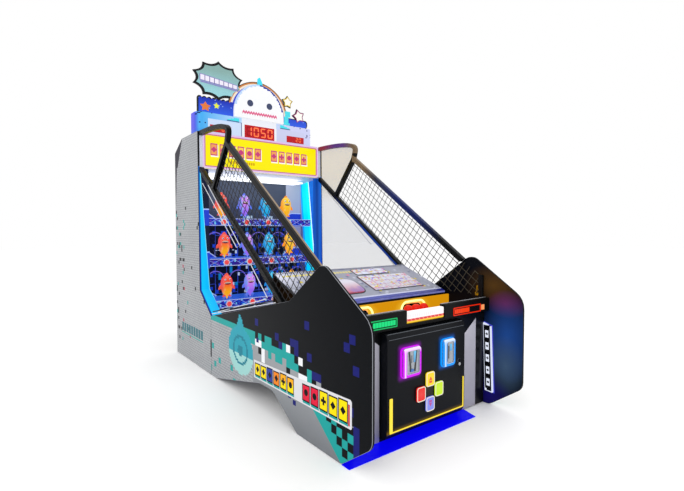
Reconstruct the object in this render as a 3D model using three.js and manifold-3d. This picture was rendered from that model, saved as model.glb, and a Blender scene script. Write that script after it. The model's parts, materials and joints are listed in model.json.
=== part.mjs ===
// Ball-toss target machine: a lit target cabinet at the rear, a sloped throwing deck, two side cages
// of square tube with netting and clear sheet, and a front panel with a coin door and four push buttons.
//
// Millimetres, +Z up. The front faces -Y and +X is the player's right. The outlines below count y from
// the front edge of the side boards; the group at the end moves the origin to the centre of the footprint.

import * as THREE from 'three';
import { mergeVertices } from 'three/addons/utils/BufferGeometryUtils.js';
import Module from 'manifold-3d';

const wasm = await Module();
wasm.setup();

// ---------------------------------------------------------------- driving dimensions

const WIDTH = 1300; // over the outer faces of the side boards
const LENGTH = 2890; // front edge of the side boards to the back panel
const SHEET = 18; // thickness of the boards and panels
const GAP = 0.3; // clearance between neighbouring pieces
const HALF = WIDTH / 2;
const BOARD_IN = HALF - SHEET; // inner face of a side board
const INSIDE = BOARD_IN - GAP; // half width of whatever fits between the side boards

const SEAM_Y = 1997; // joint between the front boards and the rear cabinet
const SEAM_TOP = 490;
const KNEE = [2248, 673]; // where the cabinet's front edge turns upright
const ROOF_FRONT_Y = 2268;
const ROOF_Z = 2045;
const ROOF_BREAK_Y = 2680; // start of the sloped rear corner
const BACK_TOP_Z = 1935;

const CREST = [[428, 1003], [372, 1005]]; // flat top of the side board
const BOARD_FRONT_TOP = 752;
const BOARD_FRONT_BOTTOM = 171;
const BOARD_DIP = [746, 772]; // low point behind the crest

const TUBE = 38; // square tube of the cages
const TUBE_X = 620; // distance of the tubes' centre plane from the middle
const ARCH_FOOT = [2262, 2027]; // upper tube at the cabinet
const ARCH_KNEE = [1680, 1925];
const RAIL_TOP = [1700, 1857]; // top rail where it meets the arch
const RAIL_LOW = [430, 953];
const LOWER_TOP = [2262, 1722]; // lower rail at the cabinet
const LOWER_LOW = [840, 719.5];
const BRACE_LOW = [1978, 1530]; // cross tube where it meets the lower rail
const CLEAR_SHEET = 5;
const NET = 4;

const COLUMNS = [-350, -117, 117, 350]; // target positions across the cabinet
const SHELVES = [
  { name: 'lower', front: 2340, top: 550 },
  { name: 'middle', front: 2390, top: 930 },
  { name: 'upper', front: 2450, top: 1305 },
];
const SHELF_BAND = 70;
const TARGET_WALL_Y = 2650;
const PIN_UP = 14; // hinge pin above the shelf
const PIN_BACK = 37; // hinge pin behind the shelf's front face
const PIN_R = 4;

const PANEL_Y = 287; // face of the front panel
const DOOR_Y = 228; // face of the coin door
const DOOR_HALF = 338;
const DOOR_SKIN = 18;
const OPENING_HALF = 320;
const RAIL_Y = 247; // face of the front rail
const RAIL_BASE_Z = 645;
const RAIL_TOP_Z = 735;
const NOTCH_HALF = 165;
const NOTCH_Z = 655;
const FASCIA_Y = 592;
const ARCH_X = 246; // ball outlets from the middle
const OUTLET_HALF = 100;
const OUTLET_FLOOR = 628;
const OUTLET_TOP = 698;
const DECK_HALF = 600;
const BALL_R = 33;

const PLATE_Z = 445; // centre height of the coin and card plates
const PLATE_X = 163;
const PLATE_H = 166;
const COIN_PLATE_W = 146;
const CARD_PLATE_W = 112;
const LOCK_AT = [281, 349];
const LOCK_R = 10;
const PAD_CENTRE = [0, 238];
const PAD_STEP = [79, 74];
const BUTTON = [72, 86];
const BUTTON_PROUD = 14;
const BUTTON_STEM_R = 9;
const RETURN_AT = [-PLATE_X, 396];

// ---------------------------------------------------------------- shapes

// The point that lies a given distance from one corner towards another.
function towards([u, v], [eu, ev], distance) {
  const length = Math.hypot(eu - u, ev - v);
  return [u + ((eu - u) * distance) / length, v + ((ev - v) * distance) / length];
}

// A closed outline through corners [u, v, ease]; the curve of an eased corner starts that far from it.
function outline(corners) {
  const shape = new THREE.Shape();
  corners.forEach(([u, v, ease = 0], i) => {
    const start = ease ? towards([u, v], corners.at(i - 1), ease) : [u, v];
    if (i === 0) shape.moveTo(...start);
    else shape.lineTo(...start);
    if (ease) shape.quadraticCurveTo(u, v, ...towards([u, v], corners[(i + 1) % corners.length], ease));
  });
  shape.closePath();
  return shape;
}

const rectangle = ([u0, u1], [v0, v1], ease = 0) =>
  outline([[u0, v0, ease], [u1, v0, ease], [u1, v1, ease], [u0, v1, ease]]);

const AXES = {
  x: [new THREE.Vector3(0, 1, 0), new THREE.Vector3(0, 0, 1), new THREE.Vector3(1, 0, 0)],
  y: [new THREE.Vector3(1, 0, 0), new THREE.Vector3(0, 0, 1), new THREE.Vector3(0, -1, 0)],
  z: [new THREE.Vector3(1, 0, 0), new THREE.Vector3(0, 1, 0), new THREE.Vector3(0, 0, 1)],
};

// A flat shape pushed through from one place on an axis to another. Its own two directions are the
// remaining axes in X, Y, Z order.
function slab(axis, shape, [from, to], curveSegments = 4) {
  const geometry = new THREE.ExtrudeGeometry(shape, { depth: to - from, bevelEnabled: false, curveSegments });
  geometry.applyMatrix4(new THREE.Matrix4().makeBasis(...AXES[axis]));
  const start = axis === 'y' ? to : from;
  return geometry.translate(...['x', 'y', 'z'].map((name) => (name === axis ? start : 0)));
}

function block([x0, x1], [y0, y1], [z0, z1]) {
  const geometry = new THREE.BoxGeometry(x1 - x0, y1 - y0, z1 - z0);
  return geometry.translate((x0 + x1) / 2, (y0 + y1) / 2, (z0 + z1) / 2);
}

// A round bar between two places on an axis, centred on the two other coordinates.
function rod(axis, [p, q], radius, [from, to], sides = 16) {
  const circle = new THREE.Shape();
  const point = (i) => [
    p + radius * Math.cos((2 * Math.PI * i) / sides),
    q + radius * Math.sin((2 * Math.PI * i) / sides),
  ];
  circle.moveTo(...point(0));
  for (let i = 1; i < sides; i += 1) circle.lineTo(...point(i));
  circle.closePath();
  return slab(axis, circle, [from, to]);
}

const around = (centre, half) => [centre - half, centre + half];
const mirrored = (geometry) => geometryOf(solid(geometry).mirror([1, 0, 0]));

// ---------------------------------------------------------------- joins and cuts

function solid(geometry) {
  const bare = geometry.clone();
  bare.deleteAttribute('normal');
  bare.deleteAttribute('uv');
  const merged = mergeVertices(bare, 1e-4);
  return new wasm.Manifold(
    new wasm.Mesh({
      numProp: 3,
      vertProperties: new Float32Array(merged.attributes.position.array),
      triVerts: new Uint32Array(merged.index.array),
    }),
  );
}

function geometryOf(manifold) {
  const mesh = manifold.getMesh();
  const geometry = new THREE.BufferGeometry();
  geometry.setAttribute('position', new THREE.BufferAttribute(mesh.vertProperties, 3));
  geometry.setIndex(new THREE.BufferAttribute(mesh.triVerts, 1));
  geometry.computeVertexNormals();
  return geometry;
}

const join = (...pieces) => geometryOf(pieces.map(solid).reduce((whole, piece) => whole.add(piece)));
const cut = (body, ...tools) =>
  geometryOf(tools.map(solid).reduce((rest, tool) => rest.subtract(tool), solid(body)));

// ---------------------------------------------------------------- the assembly

const machine = new THREE.Group();
machine.position.set(0, -LENGTH / 2, 0);

const FINISH = {
  whiteBoard: { color: 0xd6d7dc, roughness: 0.45, metalness: 0 },
  blackBoard: { color: 0x101216, roughness: 0.25, metalness: 0 },
  tube: { color: 0x141416, roughness: 0.4, metalness: 0.6 },
  steel: { color: 0x9a9ca0, roughness: 0.35, metalness: 0.9 },
  clear: { color: 0xdfe4ea, roughness: 0.05, metalness: 0, transparent: true, opacity: 0.35 },
  net: { color: 0x18181a, roughness: 0.8, metalness: 0 },
  yellow: { color: 0xffe600, roughness: 0.4, metalness: 0 },
  amber: { color: 0xe0a51c, roughness: 0.4, metalness: 0 },
  cyan: { color: 0x20a8f0, roughness: 0.4, metalness: 0 },
  blue: { color: 0x2a3cc8, roughness: 0.4, metalness: 0 },
  paleBlue: { color: 0x9cc4ff, roughness: 0.4, metalness: 0 },
  red: { color: 0xd8201c, roughness: 0.4, metalness: 0 },
  white: { color: 0xf2f4f8, roughness: 0.4, metalness: 0 },
  grey: { color: 0x50545c, roughness: 0.6, metalness: 0 },
  deck: { color: 0xb9bcc8, roughness: 0.35, metalness: 0 },
  green: { color: 0xa4dc28, roughness: 0.4, metalness: 0 },
  lavender: { color: 0x9aa4f0, roughness: 0.4, metalness: 0 },
  orange: { color: 0xf0762c, roughness: 0.4, metalness: 0 },
  pink: { color: 0xd884e0, roughness: 0.4, metalness: 0 },
  teal: { color: 0x2ab4c8, roughness: 0.4, metalness: 0 },
};

function add(name, geometry, finish, position = [0, 0, 0]) {
  const mesh = new THREE.Mesh(geometry, new THREE.MeshStandardMaterial(FINISH[finish]));
  mesh.name = name;
  mesh.position.set(...position);
  machine.add(mesh);
}

// ---------------------------------------------------------------- side boards and cabinet

const boardOutline = (lift = 0) =>
  outline([
    [0, BOARD_FRONT_TOP + lift, 70],
    [0, BOARD_FRONT_BOTTOM, 40],
    [239, 0, 25],
    [667, 0],
    [953, 170, 30],
    [1128, 170, 30],
    [1892, 0],
    [SEAM_Y, 0],
    [SEAM_Y, SEAM_TOP + lift],
    [BOARD_DIP[0], BOARD_DIP[1] + lift, 20],
    [CREST[0][0], CREST[0][1] + lift, 24],
    [CREST[1][0], CREST[1][1] + lift, 24],
  ]);

const cabinetOutline = outline([
  [SEAM_Y + GAP, 0],
  [LENGTH, 0],
  [LENGTH, BACK_TOP_Z],
  [ROOF_BREAK_Y, ROOF_Z],
  [ROOF_FRONT_Y, ROOF_Z],
  KNEE,
  [SEAM_Y + GAP, SEAM_TOP],
]);

function buildSides() {
  const board = slab('x', boardOutline(), [BOARD_IN, HALF]);
  const panel = slab('x', cabinetOutline, [BOARD_IN, HALF]);
  add('side_board_right', board, 'blackBoard');
  add('side_board_left', mirrored(board), 'blackBoard');
  add('side_panel_right', panel, 'whiteBoard');
  add('side_panel_left', mirrored(panel), 'whiteBoard');
}

function buildCabinet() {
  const across = [-INSIDE, INSIDE];
  const roof = outline([
    [2292, ROOF_Z - 1],
    [ROOF_BREAK_Y - 1, ROOF_Z - 1],
    [LENGTH - 1, BACK_TOP_Z - 1],
    [LENGTH - 1, BACK_TOP_Z - 22],
    [ROOF_BREAK_Y - 5, ROOF_Z - 1 - SHEET],
    [2292, ROOF_Z - 1 - SHEET],
  ]);
  add('roof_panel', slab('x', roof, across), 'grey');
  add('cabinet_floor', block(across, [2010, LENGTH - SHEET - GAP], [60, 60 + SHEET]), 'grey');
  add('target_wall', block(across, [TARGET_WALL_Y, TARGET_WALL_Y + 12], [80, 1720]), 'grey');

  const backOutline = rectangle(across, [5, BACK_TOP_Z - 23]);
  backOutline.holes.push(rectangle([-280, 280], [250, 1450]));
  add('back_panel', slab('y', backOutline, [LENGTH - SHEET, LENGTH]), 'blackBoard');
  const serviceDoor = block([-277, 277], [LENGTH - SHEET + 2, LENGTH - 0.5], [253, 1447]);
  add('service_door', serviceDoor, 'blackBoard');

  add('control_box', block([-200, 200], [2700, 2820], [60 + SHEET + GAP, 430]), 'steel');
}

function buildSideLights() {
  const strip = outline([[2271, 1727], [2286, 1727], [2271, 670], [2013, 482], [2005, 494], [2256, 677]]);
  const light = slab('x', strip, [552, BOARD_IN - 0.6]);
  add('side_light_right', light, 'cyan');
  add('side_light_left', mirrored(light), 'cyan');
}

// ---------------------------------------------------------------- header

const SIGN_HALF = 603;
const SIGN_Y = 2292;
const SIGN_BASE_Z = 1732;
const SCORE_Y = 2385;
const SCORE_HALF = 615;
const SCORE_TOP = 2250;
const TOPPER_Y = 2400;
const TOPPER_CENTRE_Z = 2300;

function buildHeader() {
  const profile = outline([
    [SIGN_Y, SIGN_BASE_Z],
    [SIGN_Y, ROOF_Z - 1 - SHEET - GAP],
    [2400, ROOF_Z - 1 - SHEET - GAP],
    [2400, 1738],
    [TARGET_WALL_Y - GAP, 1710],
    [TARGET_WALL_Y - GAP, 1692],
  ]);
  const endPost = (side) => {
    const x = side > 0 ? [SIGN_HALF + 1, INSIDE] : [-INSIDE, -SIGN_HALF - 1];
    return block(x, [2263, SIGN_Y + 1], [SIGN_BASE_Z, ROOF_Z - 1 - SHEET - GAP]);
  };
  add('header_box', join(slab('x', profile, [-INSIDE, INSIDE]), endPost(-1), endPost(1)), 'white');

  const face = rectangle([-SIGN_HALF, SIGN_HALF], [SIGN_BASE_Z + 2, ROOF_Z + 2], 18);
  add('marquee_face', slab('y', face, [SIGN_Y - 20, SIGN_Y - GAP]), 'yellow');
}

function buildScoreBox() {
  const plan = outline([
    [-SCORE_HALF, SCORE_Y, 70],
    [SCORE_HALF, SCORE_Y, 70],
    [SCORE_HALF, SCORE_Y + 140],
    [-SCORE_HALF, SCORE_Y + 140],
  ]);
  const shell = slab('z', plan, [ROOF_Z - 1 + GAP, SCORE_TOP], 6);
  const hollow = block([-570, 570], [SCORE_Y + 15, SCORE_Y + 150], [ROOF_Z + 15, SCORE_TOP - 15]);
  add('score_box', cut(shell, hollow), 'paleBlue');

  const y = SCORE_Y - GAP;
  const strip = block([-510, 510], [y - 4, y], [2066, 2196]);
  const centre = block([-157, 157], [y - 9, y - 3], [2072, 2190]);
  const small = (x) => block(around(x, 100), [y - 8, y - 3], [2082, 2144]);
  add('score_display', join(strip, centre, small(-392), small(400)), 'red');
}

// A flat star: spikes alternate between the outer radii and a share of them.
function star([cx, cz], [rx, rz], spikes, share, turn) {
  const corners = [];
  for (let i = 0; i < 2 * spikes; i += 1) {
    const angle = turn + (Math.PI * i) / spikes;
    const reach = i % 2 ? share : 1;
    corners.push([cx + rx * reach * Math.cos(angle), cz + rz * reach * Math.sin(angle)]);
  }
  return outline(corners);
}

function dome(radiusX, radiusZ, base, steps) {
  const corners = [[radiusX, base]];
  for (let i = 0; i <= steps; i += 1) {
    const angle = (Math.PI * i) / steps;
    corners.push([radiusX * Math.cos(angle), TOPPER_CENTRE_Z + radiusZ * Math.sin(angle)]);
  }
  corners.push([-radiusX, base]);
  return outline(corners);
}

function buildTopper() {
  const base = SCORE_TOP + GAP;
  const depth = [TOPPER_Y, TOPPER_Y + SHEET];
  const board = join(
    slab('y', dome(320, 320, base, 32), depth),
    slab('y', rectangle([-600, -200], [base, 2395], 30), depth),
    slab('y', star([-400, 2552], [249, 178], 9, 0.76, Math.PI / 12), depth),
    slab('y', rectangle([200, 560], [base, 2330], 30), depth),
    slab('y', star([322, 2486], [66, 66], 5, 0.6, 0.3), depth),
    slab('y', star([455, 2362], [66, 66], 5, 0.6, 0.6), depth),
  );
  add('topper_board', board, 'blue');

  const front = [TOPPER_Y - 28, TOPPER_Y - GAP];
  const fin = outline([[-16, 2570], [34, 2570], [26, 2618, 8], [2, 2662, 6], [-14, 2650, 6]]);
  add('topper_dome', join(slab('y', dome(262, 288, base, 28), front), slab('y', fin, front)), 'white');
}

// ---------------------------------------------------------------- targets on their shelves

function buildShelf({ name, front, top }) {
  const back = TARGET_WALL_Y - GAP;
  const profile = outline([
    [front, top - SHELF_BAND],
    [front, top],
    [back, top],
    [back, top - SHEET],
    [front + SHEET, top - SHEET],
    [front + SHEET, top - SHELF_BAND],
  ]);
  const pieces = [slab('x', profile, [-INSIDE, INSIDE])];
  const pinY = front + PIN_BACK;
  for (const x of COLUMNS) {
    pieces.push(rod('y', [x, top - SHELF_BAND / 2], 24, [front - 14, front + 1]));
    for (const side of [-1, 1]) {
      pieces.push(block(around(x + side * 11, 2), around(pinY, 9), [top - 1, top + PIN_UP + 9]));
    }
    pieces.push(rod('x', [pinY, top + PIN_UP], PIN_R, around(x, 12), 12));
  }
  add('shelf_' + name, join(...pieces), 'blue');
}

// A plump fish standing on a short stem, with the hinge hole at its origin.
function targetGeometry() {
  const body = new THREE.SphereGeometry(1, 14, 10).rotateX(Math.PI / 2).scale(60, 32, 88).translate(0, 0, 126);
  const depth = [-8, 8];
  const topFin = outline([[-22, 196], [20, 196], [12, 218, 6], [-4, 234, 4], [-16, 222, 6]]);
  const tail = outline([[-14, 62], [-44, 26, 8], [-12, 34], [12, 34], [44, 26, 8], [14, 62]]);
  const stem = slab('x', outline([[-9, -9, 5], [9, -9, 5], [9, 44], [-9, 44]]), [-8, 8]);
  const sideFin = slab('y', outline([[46, 106], [76, 96, 8], [82, 118, 8], [48, 140]]), depth, 3);
  const whole = join(
    body,
    slab('y', topFin, depth, 3),
    slab('y', tail, depth, 3),
    sideFin,
    mirrored(sideFin),
    stem,
  );
  return cut(whole, rod('x', [0, 0], PIN_R + 0.6, [-12, 12], 12));
}

function buildTargets() {
  const fish = targetGeometry();
  const colours = ['orange', 'pink', 'teal', 'yellow'];
  for (const { name, front, top } of SHELVES) {
    COLUMNS.forEach((x, i) => {
      add('target_' + name + '_' + (i + 1), fish, colours[i], [x, front + PIN_BACK, top + PIN_UP]);
    });
  }
}

// ---------------------------------------------------------------- cages, nets and clear sheets

const archPath = () => {
  const path = new THREE.Path();
  path.moveTo(...ARCH_FOOT);
  path.quadraticCurveTo(1860, 2024, 1722, 1980);
  path.quadraticCurveTo(1672, 1962, ...ARCH_KNEE);
  path.lineTo(...RAIL_TOP);
  return path.getPoints(6);
};

// A strip of constant width along a row of points.
function band(points, half) {
  const offset = (i, side) => {
    const before = points[Math.max(i - 1, 0)];
    const after = points[Math.min(i + 1, points.length - 1)];
    const along = new THREE.Vector2().subVectors(after, before).normalize();
    return [points[i].x - side * half * along.y, points[i].y + side * half * along.x];
  };
  const left = points.map((_, i) => offset(i, 1));
  const right = points.map((_, i) => offset(i, -1)).reverse();
  return outline([...left, ...right]);
}

function bar(from, to, half, overrun = 0) {
  const start = towards(from, to, -overrun);
  const end = towards(to, from, -overrun);
  return band([new THREE.Vector2(...start), new THREE.Vector2(...end)], half);
}

function cageSolid(half, depth) {
  return join(
    slab('x', band(archPath(), half), depth),
    slab('x', bar(RAIL_TOP, RAIL_LOW, half), depth),
    slab('x', bar(RAIL_TOP, BRACE_LOW, half, 6), depth),
    slab('x', bar(LOWER_TOP, LOWER_LOW, half), depth),
  );
}

function buildCages() {
  const boardCutter = slab('x', boardOutline(0.6), [560, 700]);
  const beyondCabinet = block([560, 700], [ARCH_FOOT[0] - 0.5, 2400], [1500, 2200]);
  const tubes = around(TUBE_X, TUBE / 2);
  const cage = cut(cageSolid(TUBE / 2, tubes), boardCutter, beyondCabinet);
  add('cage_right', cage, 'tube');
  add('cage_left', mirrored(cage), 'tube');

  const netOutline = outline([RAIL_TOP, BRACE_LOW, LOWER_LOW, BOARD_DIP, RAIL_LOW]);
  const sheet = slab('x', netOutline, around(TUBE_X, NET / 2));
  const net = cut(sheet, cageSolid(TUBE / 2 + 0.4, [560, 700]), boardCutter);
  add('net_right', net, 'net');
  add('net_left', mirrored(net), 'net');

  const arch = archPath().map(({ x, y }) => [x - 1, y]);
  const clearOutline = outline([
    ...arch,
    BRACE_LOW,
    [900, 762],
    [SEAM_Y - 0.6, SEAM_TOP + 0.2],
    [KNEE[0] - 0.8, KNEE[1] + 0.2],
    [ARCH_FOOT[0] - 1, 1700],
  ]);
  const face = TUBE_X + TUBE / 2 + 0.5;
  const clear = cut(slab('x', clearOutline, [face, face + CLEAR_SHEET]), boardCutter);
  add('clear_panel_right', clear, 'clear');
  add('clear_panel_left', mirrored(clear), 'clear');
}

// ---------------------------------------------------------------- throwing deck and ball path

function buildDeck() {
  const profile = outline([
    [604, 720],
    [604, 750],
    [1040, 914],
    [1040, 640],
    [1022, 640],
    [1022, 887],
    [622, 737],
    [622, 720],
  ]);
  add('deck', slab('x', profile, [-DECK_HALF, DECK_HALF]), 'deck');

  const ramp = outline([[640, 400], [2330, 455], [2330, 465], [650, 410], [650, 560], [640, 560]]);
  add('ball_ramp', slab('x', ramp, [-628, 628]), 'grey');

  const board = block([-INSIDE, INSIDE], [FASCIA_Y, FASCIA_Y + SHEET], [600, 720 - GAP]);
  const outlets = [-ARCH_X, ARCH_X].map((x) => {
    const [left, right] = around(x, OUTLET_HALF);
    const mouth = outline([
      [left, OUTLET_FLOOR],
      [right, OUTLET_FLOOR],
      [right, OUTLET_TOP, 50],
      [left, OUTLET_TOP, 50],
    ]);
    return slab('y', mouth, [FASCIA_Y - 5, FASCIA_Y + SHEET + 5]);
  });
  add('ball_fascia', cut(board, ...outlets), 'amber');

  const front = PANEL_Y + SHEET + GAP;
  const rear = FASCIA_Y - GAP;
  const tray = outline([[front, 590], [rear, 616], [rear, 626], [front + 10, 601], [front + 10, 700], [front, 700]]);
  add('ball_tray', slab('x', tray, [-INSIDE, INSIDE]), 'grey');

  const ball = new THREE.SphereGeometry(BALL_R, 18, 12);
  add('ball_a', ball, 'red', [165, 556, 656.8]);
  add('ball_b', ball, 'red', [240, 556, 656.8]);
}

// ---------------------------------------------------------------- front rail and panel

function buildFront() {
  const rail = block([-INSIDE, INSIDE], [RAIL_Y, RAIL_Y + 43], [RAIL_BASE_Z, RAIL_TOP_Z]);
  const notch = block([-NOTCH_HALF, NOTCH_HALF], [RAIL_Y - 10, RAIL_Y + 60], [NOTCH_Z, RAIL_TOP_Z + 10]);
  add('front_rail', cut(rail, notch), 'blackBoard');
  const lightAcross = [-NOTCH_HALF + GAP, NOTCH_HALF - GAP];
  add('rail_light', block(lightAcross, [RAIL_Y + 5, RAIL_Y + 40], [NOTCH_Z + GAP, 722]), 'white');

  const panel = rectangle([-INSIDE, INSIDE], [5, RAIL_BASE_Z - GAP]);
  panel.holes.push(rectangle([-OPENING_HALF, OPENING_HALF], [90, 560]));
  const strip = slab('y', outline([[345, 8], [535, 8], [535, 600], [345, 461]]), [PANEL_Y - 2, PANEL_Y + 1]);
  const sheet = slab('y', panel, [PANEL_Y, PANEL_Y + SHEET]);
  add('front_panel', join(sheet, strip, mirrored(strip)), 'blackBoard');

  const sign = outline([[206, 92], [264, 97], [283, 560], [225, 540]]);
  add('side_sign', slab('x', sign, [612, INSIDE]), 'white');

  const plan = outline([
    [-HALF, 171],
    [381, 171],
    [412, 284],
    [412, 560],
    [-INSIDE, 560],
    [-INSIDE, 232],
    [-HALF, 232],
  ]);
  add('base_plate', slab('z', plan, [0, 4]), 'blue');

  const bin = block([-260, -60], [330, 530], [4 + GAP, 154]);
  add('coin_box', cut(bin, block([-257, -63], [333, 527], [8, 170])), 'steel');
}

// ---------------------------------------------------------------- coin door and what it carries

const padButtons = [
  { name: 'button_up', at: [0, 1], finish: 'yellow' },
  { name: 'button_right', at: [1, 0], finish: 'green' },
  { name: 'button_left', at: [-1, 0], finish: 'red' },
  { name: 'button_down', at: [0, -1], finish: 'lavender' },
];
const buttonCentre = ([i, j]) => [PAD_CENTRE[0] + i * PAD_STEP[0], PAD_CENTRE[1] + j * PAD_STEP[1]];

function buildCoinDoor() {
  const profile = outline([[286, 24, 6], [250, 26, 10], [DOOR_Y, 64], [DOOR_Y, 592], [241, 617], [286, 624]]);
  const shell = slab('x', profile, [-DOOR_HALF, DOOR_HALF]);
  const skin = [DOOR_Y - 5, DOOR_Y + DOOR_SKIN + 5];
  const hollow = block([-DOOR_HALF + 14, DOOR_HALF - 14], [DOOR_Y + DOOR_SKIN, 300], [42, 604]);
  const mouth = (x, half) => block(around(x, half), skin, around(PLATE_Z, 56));
  const holes = padButtons.map(({ at }) => rod('y', buttonCentre(at), BUTTON_STEM_R + 1, skin));
  add(
    'coin_door',
    cut(shell, hollow, mouth(-PLATE_X, 46), mouth(PLATE_X, 36), rod('y', LOCK_AT, LOCK_R + 1, skin), ...holes),
    'blackBoard',
  );
}

function buildPlates() {
  const y = [DOOR_Y - 16, DOOR_Y - GAP];
  const frame = (x, width) => slab('y', rectangle(around(x, width / 2), around(PLATE_Z, PLATE_H / 2), 22), y);
  const body = (x, half, depth) => block(around(x, half), [DOOR_Y - 2, depth], around(PLATE_Z, 54));
  const slot = (x, width, [z0, z1]) => block(around(x, width / 2), [DOOR_Y - 20, DOOR_Y + 20], [z0, z1]);
  const pocket = block(around(RETURN_AT[0], 12.6), [DOOR_Y - 20, DOOR_Y - 4], around(RETURN_AT[1], 7.6));
  add(
    'coin_plate',
    cut(join(frame(-PLATE_X, COIN_PLATE_W), body(-PLATE_X, 44, 292)), slot(-PLATE_X, 6, [440, 482]), pocket),
    'steel',
  );
  const cardPlate = join(frame(PLATE_X, CARD_PLATE_W), body(PLATE_X, 34, 280));
  add('card_plate', cut(cardPlate, slot(PLATE_X, 8, [405, 485])), 'steel');

  const press = block(around(RETURN_AT[0], 12), [DOOR_Y - 22, DOOR_Y - 9], around(RETURN_AT[1], 7));
  add('return_button', press, 'cyan');
}

function buildLock() {
  const barrel = rod('y', [0, 0], LOCK_R, [DOOR_Y - 7, PANEL_Y + SHEET + 1]);
  const cam = block([-7, 7], [PANEL_Y + SHEET, PANEL_Y + SHEET + 4], [-8, 52]);
  const keyway = block([-1.5, 1.5], [DOOR_Y - 12, DOOR_Y], [-6, 6]);
  add('door_lock', cut(join(barrel, cam.translate(0, 0.5, 0)), keyway), 'steel', [LOCK_AT[0], 0, LOCK_AT[1]]);
}

function buildButtons() {
  const cap = slab('y', rectangle(around(0, BUTTON[0] / 2), around(0, BUTTON[1] / 2), 16), [
    DOOR_Y - BUTTON_PROUD,
    DOOR_Y - 4.5,
  ]);
  const button = join(cap, rod('y', [0, 0], BUTTON_STEM_R, [DOOR_Y - 6, DOOR_Y + DOOR_SKIN + 4]));
  for (const { name, at, finish } of padButtons) {
    const [x, z] = buttonCentre(at);
    add(name, button, finish, [x, 0, z]);
  }
}

// ---------------------------------------------------------------- build

buildSides();
buildCabinet();
buildSideLights();
buildHeader();
buildScoreBox();
buildTopper();
SHELVES.forEach(buildShelf);
buildTargets();
buildCages();
buildDeck();
buildFront();
buildCoinDoor();
buildPlates();
buildLock();
buildButtons();

export default machine;
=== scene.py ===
import functools
import json
import math

import bmesh
import bpy
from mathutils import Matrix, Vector


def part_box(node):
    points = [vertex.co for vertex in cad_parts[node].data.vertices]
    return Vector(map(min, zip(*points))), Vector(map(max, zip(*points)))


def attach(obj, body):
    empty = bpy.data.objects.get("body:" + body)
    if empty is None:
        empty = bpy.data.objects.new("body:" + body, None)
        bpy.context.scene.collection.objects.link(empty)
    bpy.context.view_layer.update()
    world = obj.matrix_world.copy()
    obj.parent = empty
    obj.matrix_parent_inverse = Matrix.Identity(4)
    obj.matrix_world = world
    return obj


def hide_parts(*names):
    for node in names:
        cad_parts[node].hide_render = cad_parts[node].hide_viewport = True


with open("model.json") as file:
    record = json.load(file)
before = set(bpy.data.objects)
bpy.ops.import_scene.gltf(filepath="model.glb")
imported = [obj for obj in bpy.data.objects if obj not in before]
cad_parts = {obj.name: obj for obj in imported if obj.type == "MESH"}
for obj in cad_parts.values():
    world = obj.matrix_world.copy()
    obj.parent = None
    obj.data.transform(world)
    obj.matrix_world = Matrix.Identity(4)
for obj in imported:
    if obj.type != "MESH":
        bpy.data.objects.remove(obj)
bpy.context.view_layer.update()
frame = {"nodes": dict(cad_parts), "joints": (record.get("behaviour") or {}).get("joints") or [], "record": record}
NODES = frame["nodes"]
SLOTS = {s["node"]: s["material_slot"] for s in frame["record"]["subparts"]}
BODY = {n: b for b, members in frame["record"]["behaviour"]["bodies"].items() for n in members}
JOINTS = {j["name"]: j for j in frame["joints"]}
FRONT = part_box("side_board_left")[0].y  # the y of the side boards' front edge

# ---------------------------------------------------------------- painting


def rgb(code):
    """A web colour as linear RGBA."""
    parts = [int(code[i : i + 2], 16) / 255 for i in (0, 2, 4)]
    return tuple(c / 12.92 if c <= 0.04045 else ((c + 0.055) / 1.055) ** 2.4 for c in parts) + (1.0,)


class Field:
    """A number that varies over a surface. Arithmetic on it adds nodes to its material."""

    def __init__(self, paint, socket):
        self.paint = paint
        self.socket = socket

    def __add__(self, other):
        return self.paint.math("ADD", self, other)

    __radd__ = __add__

    def __sub__(self, other):
        return self.paint.math("SUBTRACT", self, other)

    def __rsub__(self, other):
        return self.paint.math("SUBTRACT", other, self)

    def __mul__(self, other):
        return self.paint.math("MULTIPLY", self, other)

    __rmul__ = __mul__
    __and__ = __mul__

    def __truediv__(self, other):
        return self.paint.math("DIVIDE", self, other)

    def __gt__(self, other):
        return self.paint.math("GREATER_THAN", self, other)

    def __lt__(self, other):
        return self.paint.math("LESS_THAN", self, other)

    def __or__(self, other):
        return self.paint.math("MAXIMUM", self, other)

    def __invert__(self):
        return self.paint.math("SUBTRACT", 1.0, self)

    def floor(self):
        return self.paint.math("FLOOR", self)

    def frac(self):
        return self.paint.math("FRACT", self)

    def abs(self):
        return self.paint.math("ABSOLUTE", self)

    def root(self):
        return self.paint.math("SQRT", self)

    def within(self, low, high):
        return (self > low) & (self < high)

    def near(self, centre, reach):
        return (self - centre).abs() < reach

    def clamp(self):
        return self.paint.math("MINIMUM", self.paint.math("MAXIMUM", self, 0.0), 1.0)

    def ramp(self, low, high):
        """0 at low and 1 at high, straight in between."""
        return ((self - low) / (high - low)).clamp()


def any_of(masks):
    """The mask of every place that at least one of the masks covers."""
    return functools.reduce(lambda one, other: one | other, masks)


def falloff(u, v):
    """1 in the middle, fading to 0 where u and v are one unit out."""
    return (1.0 - (u * u + v * v).root()).clamp()


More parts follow.
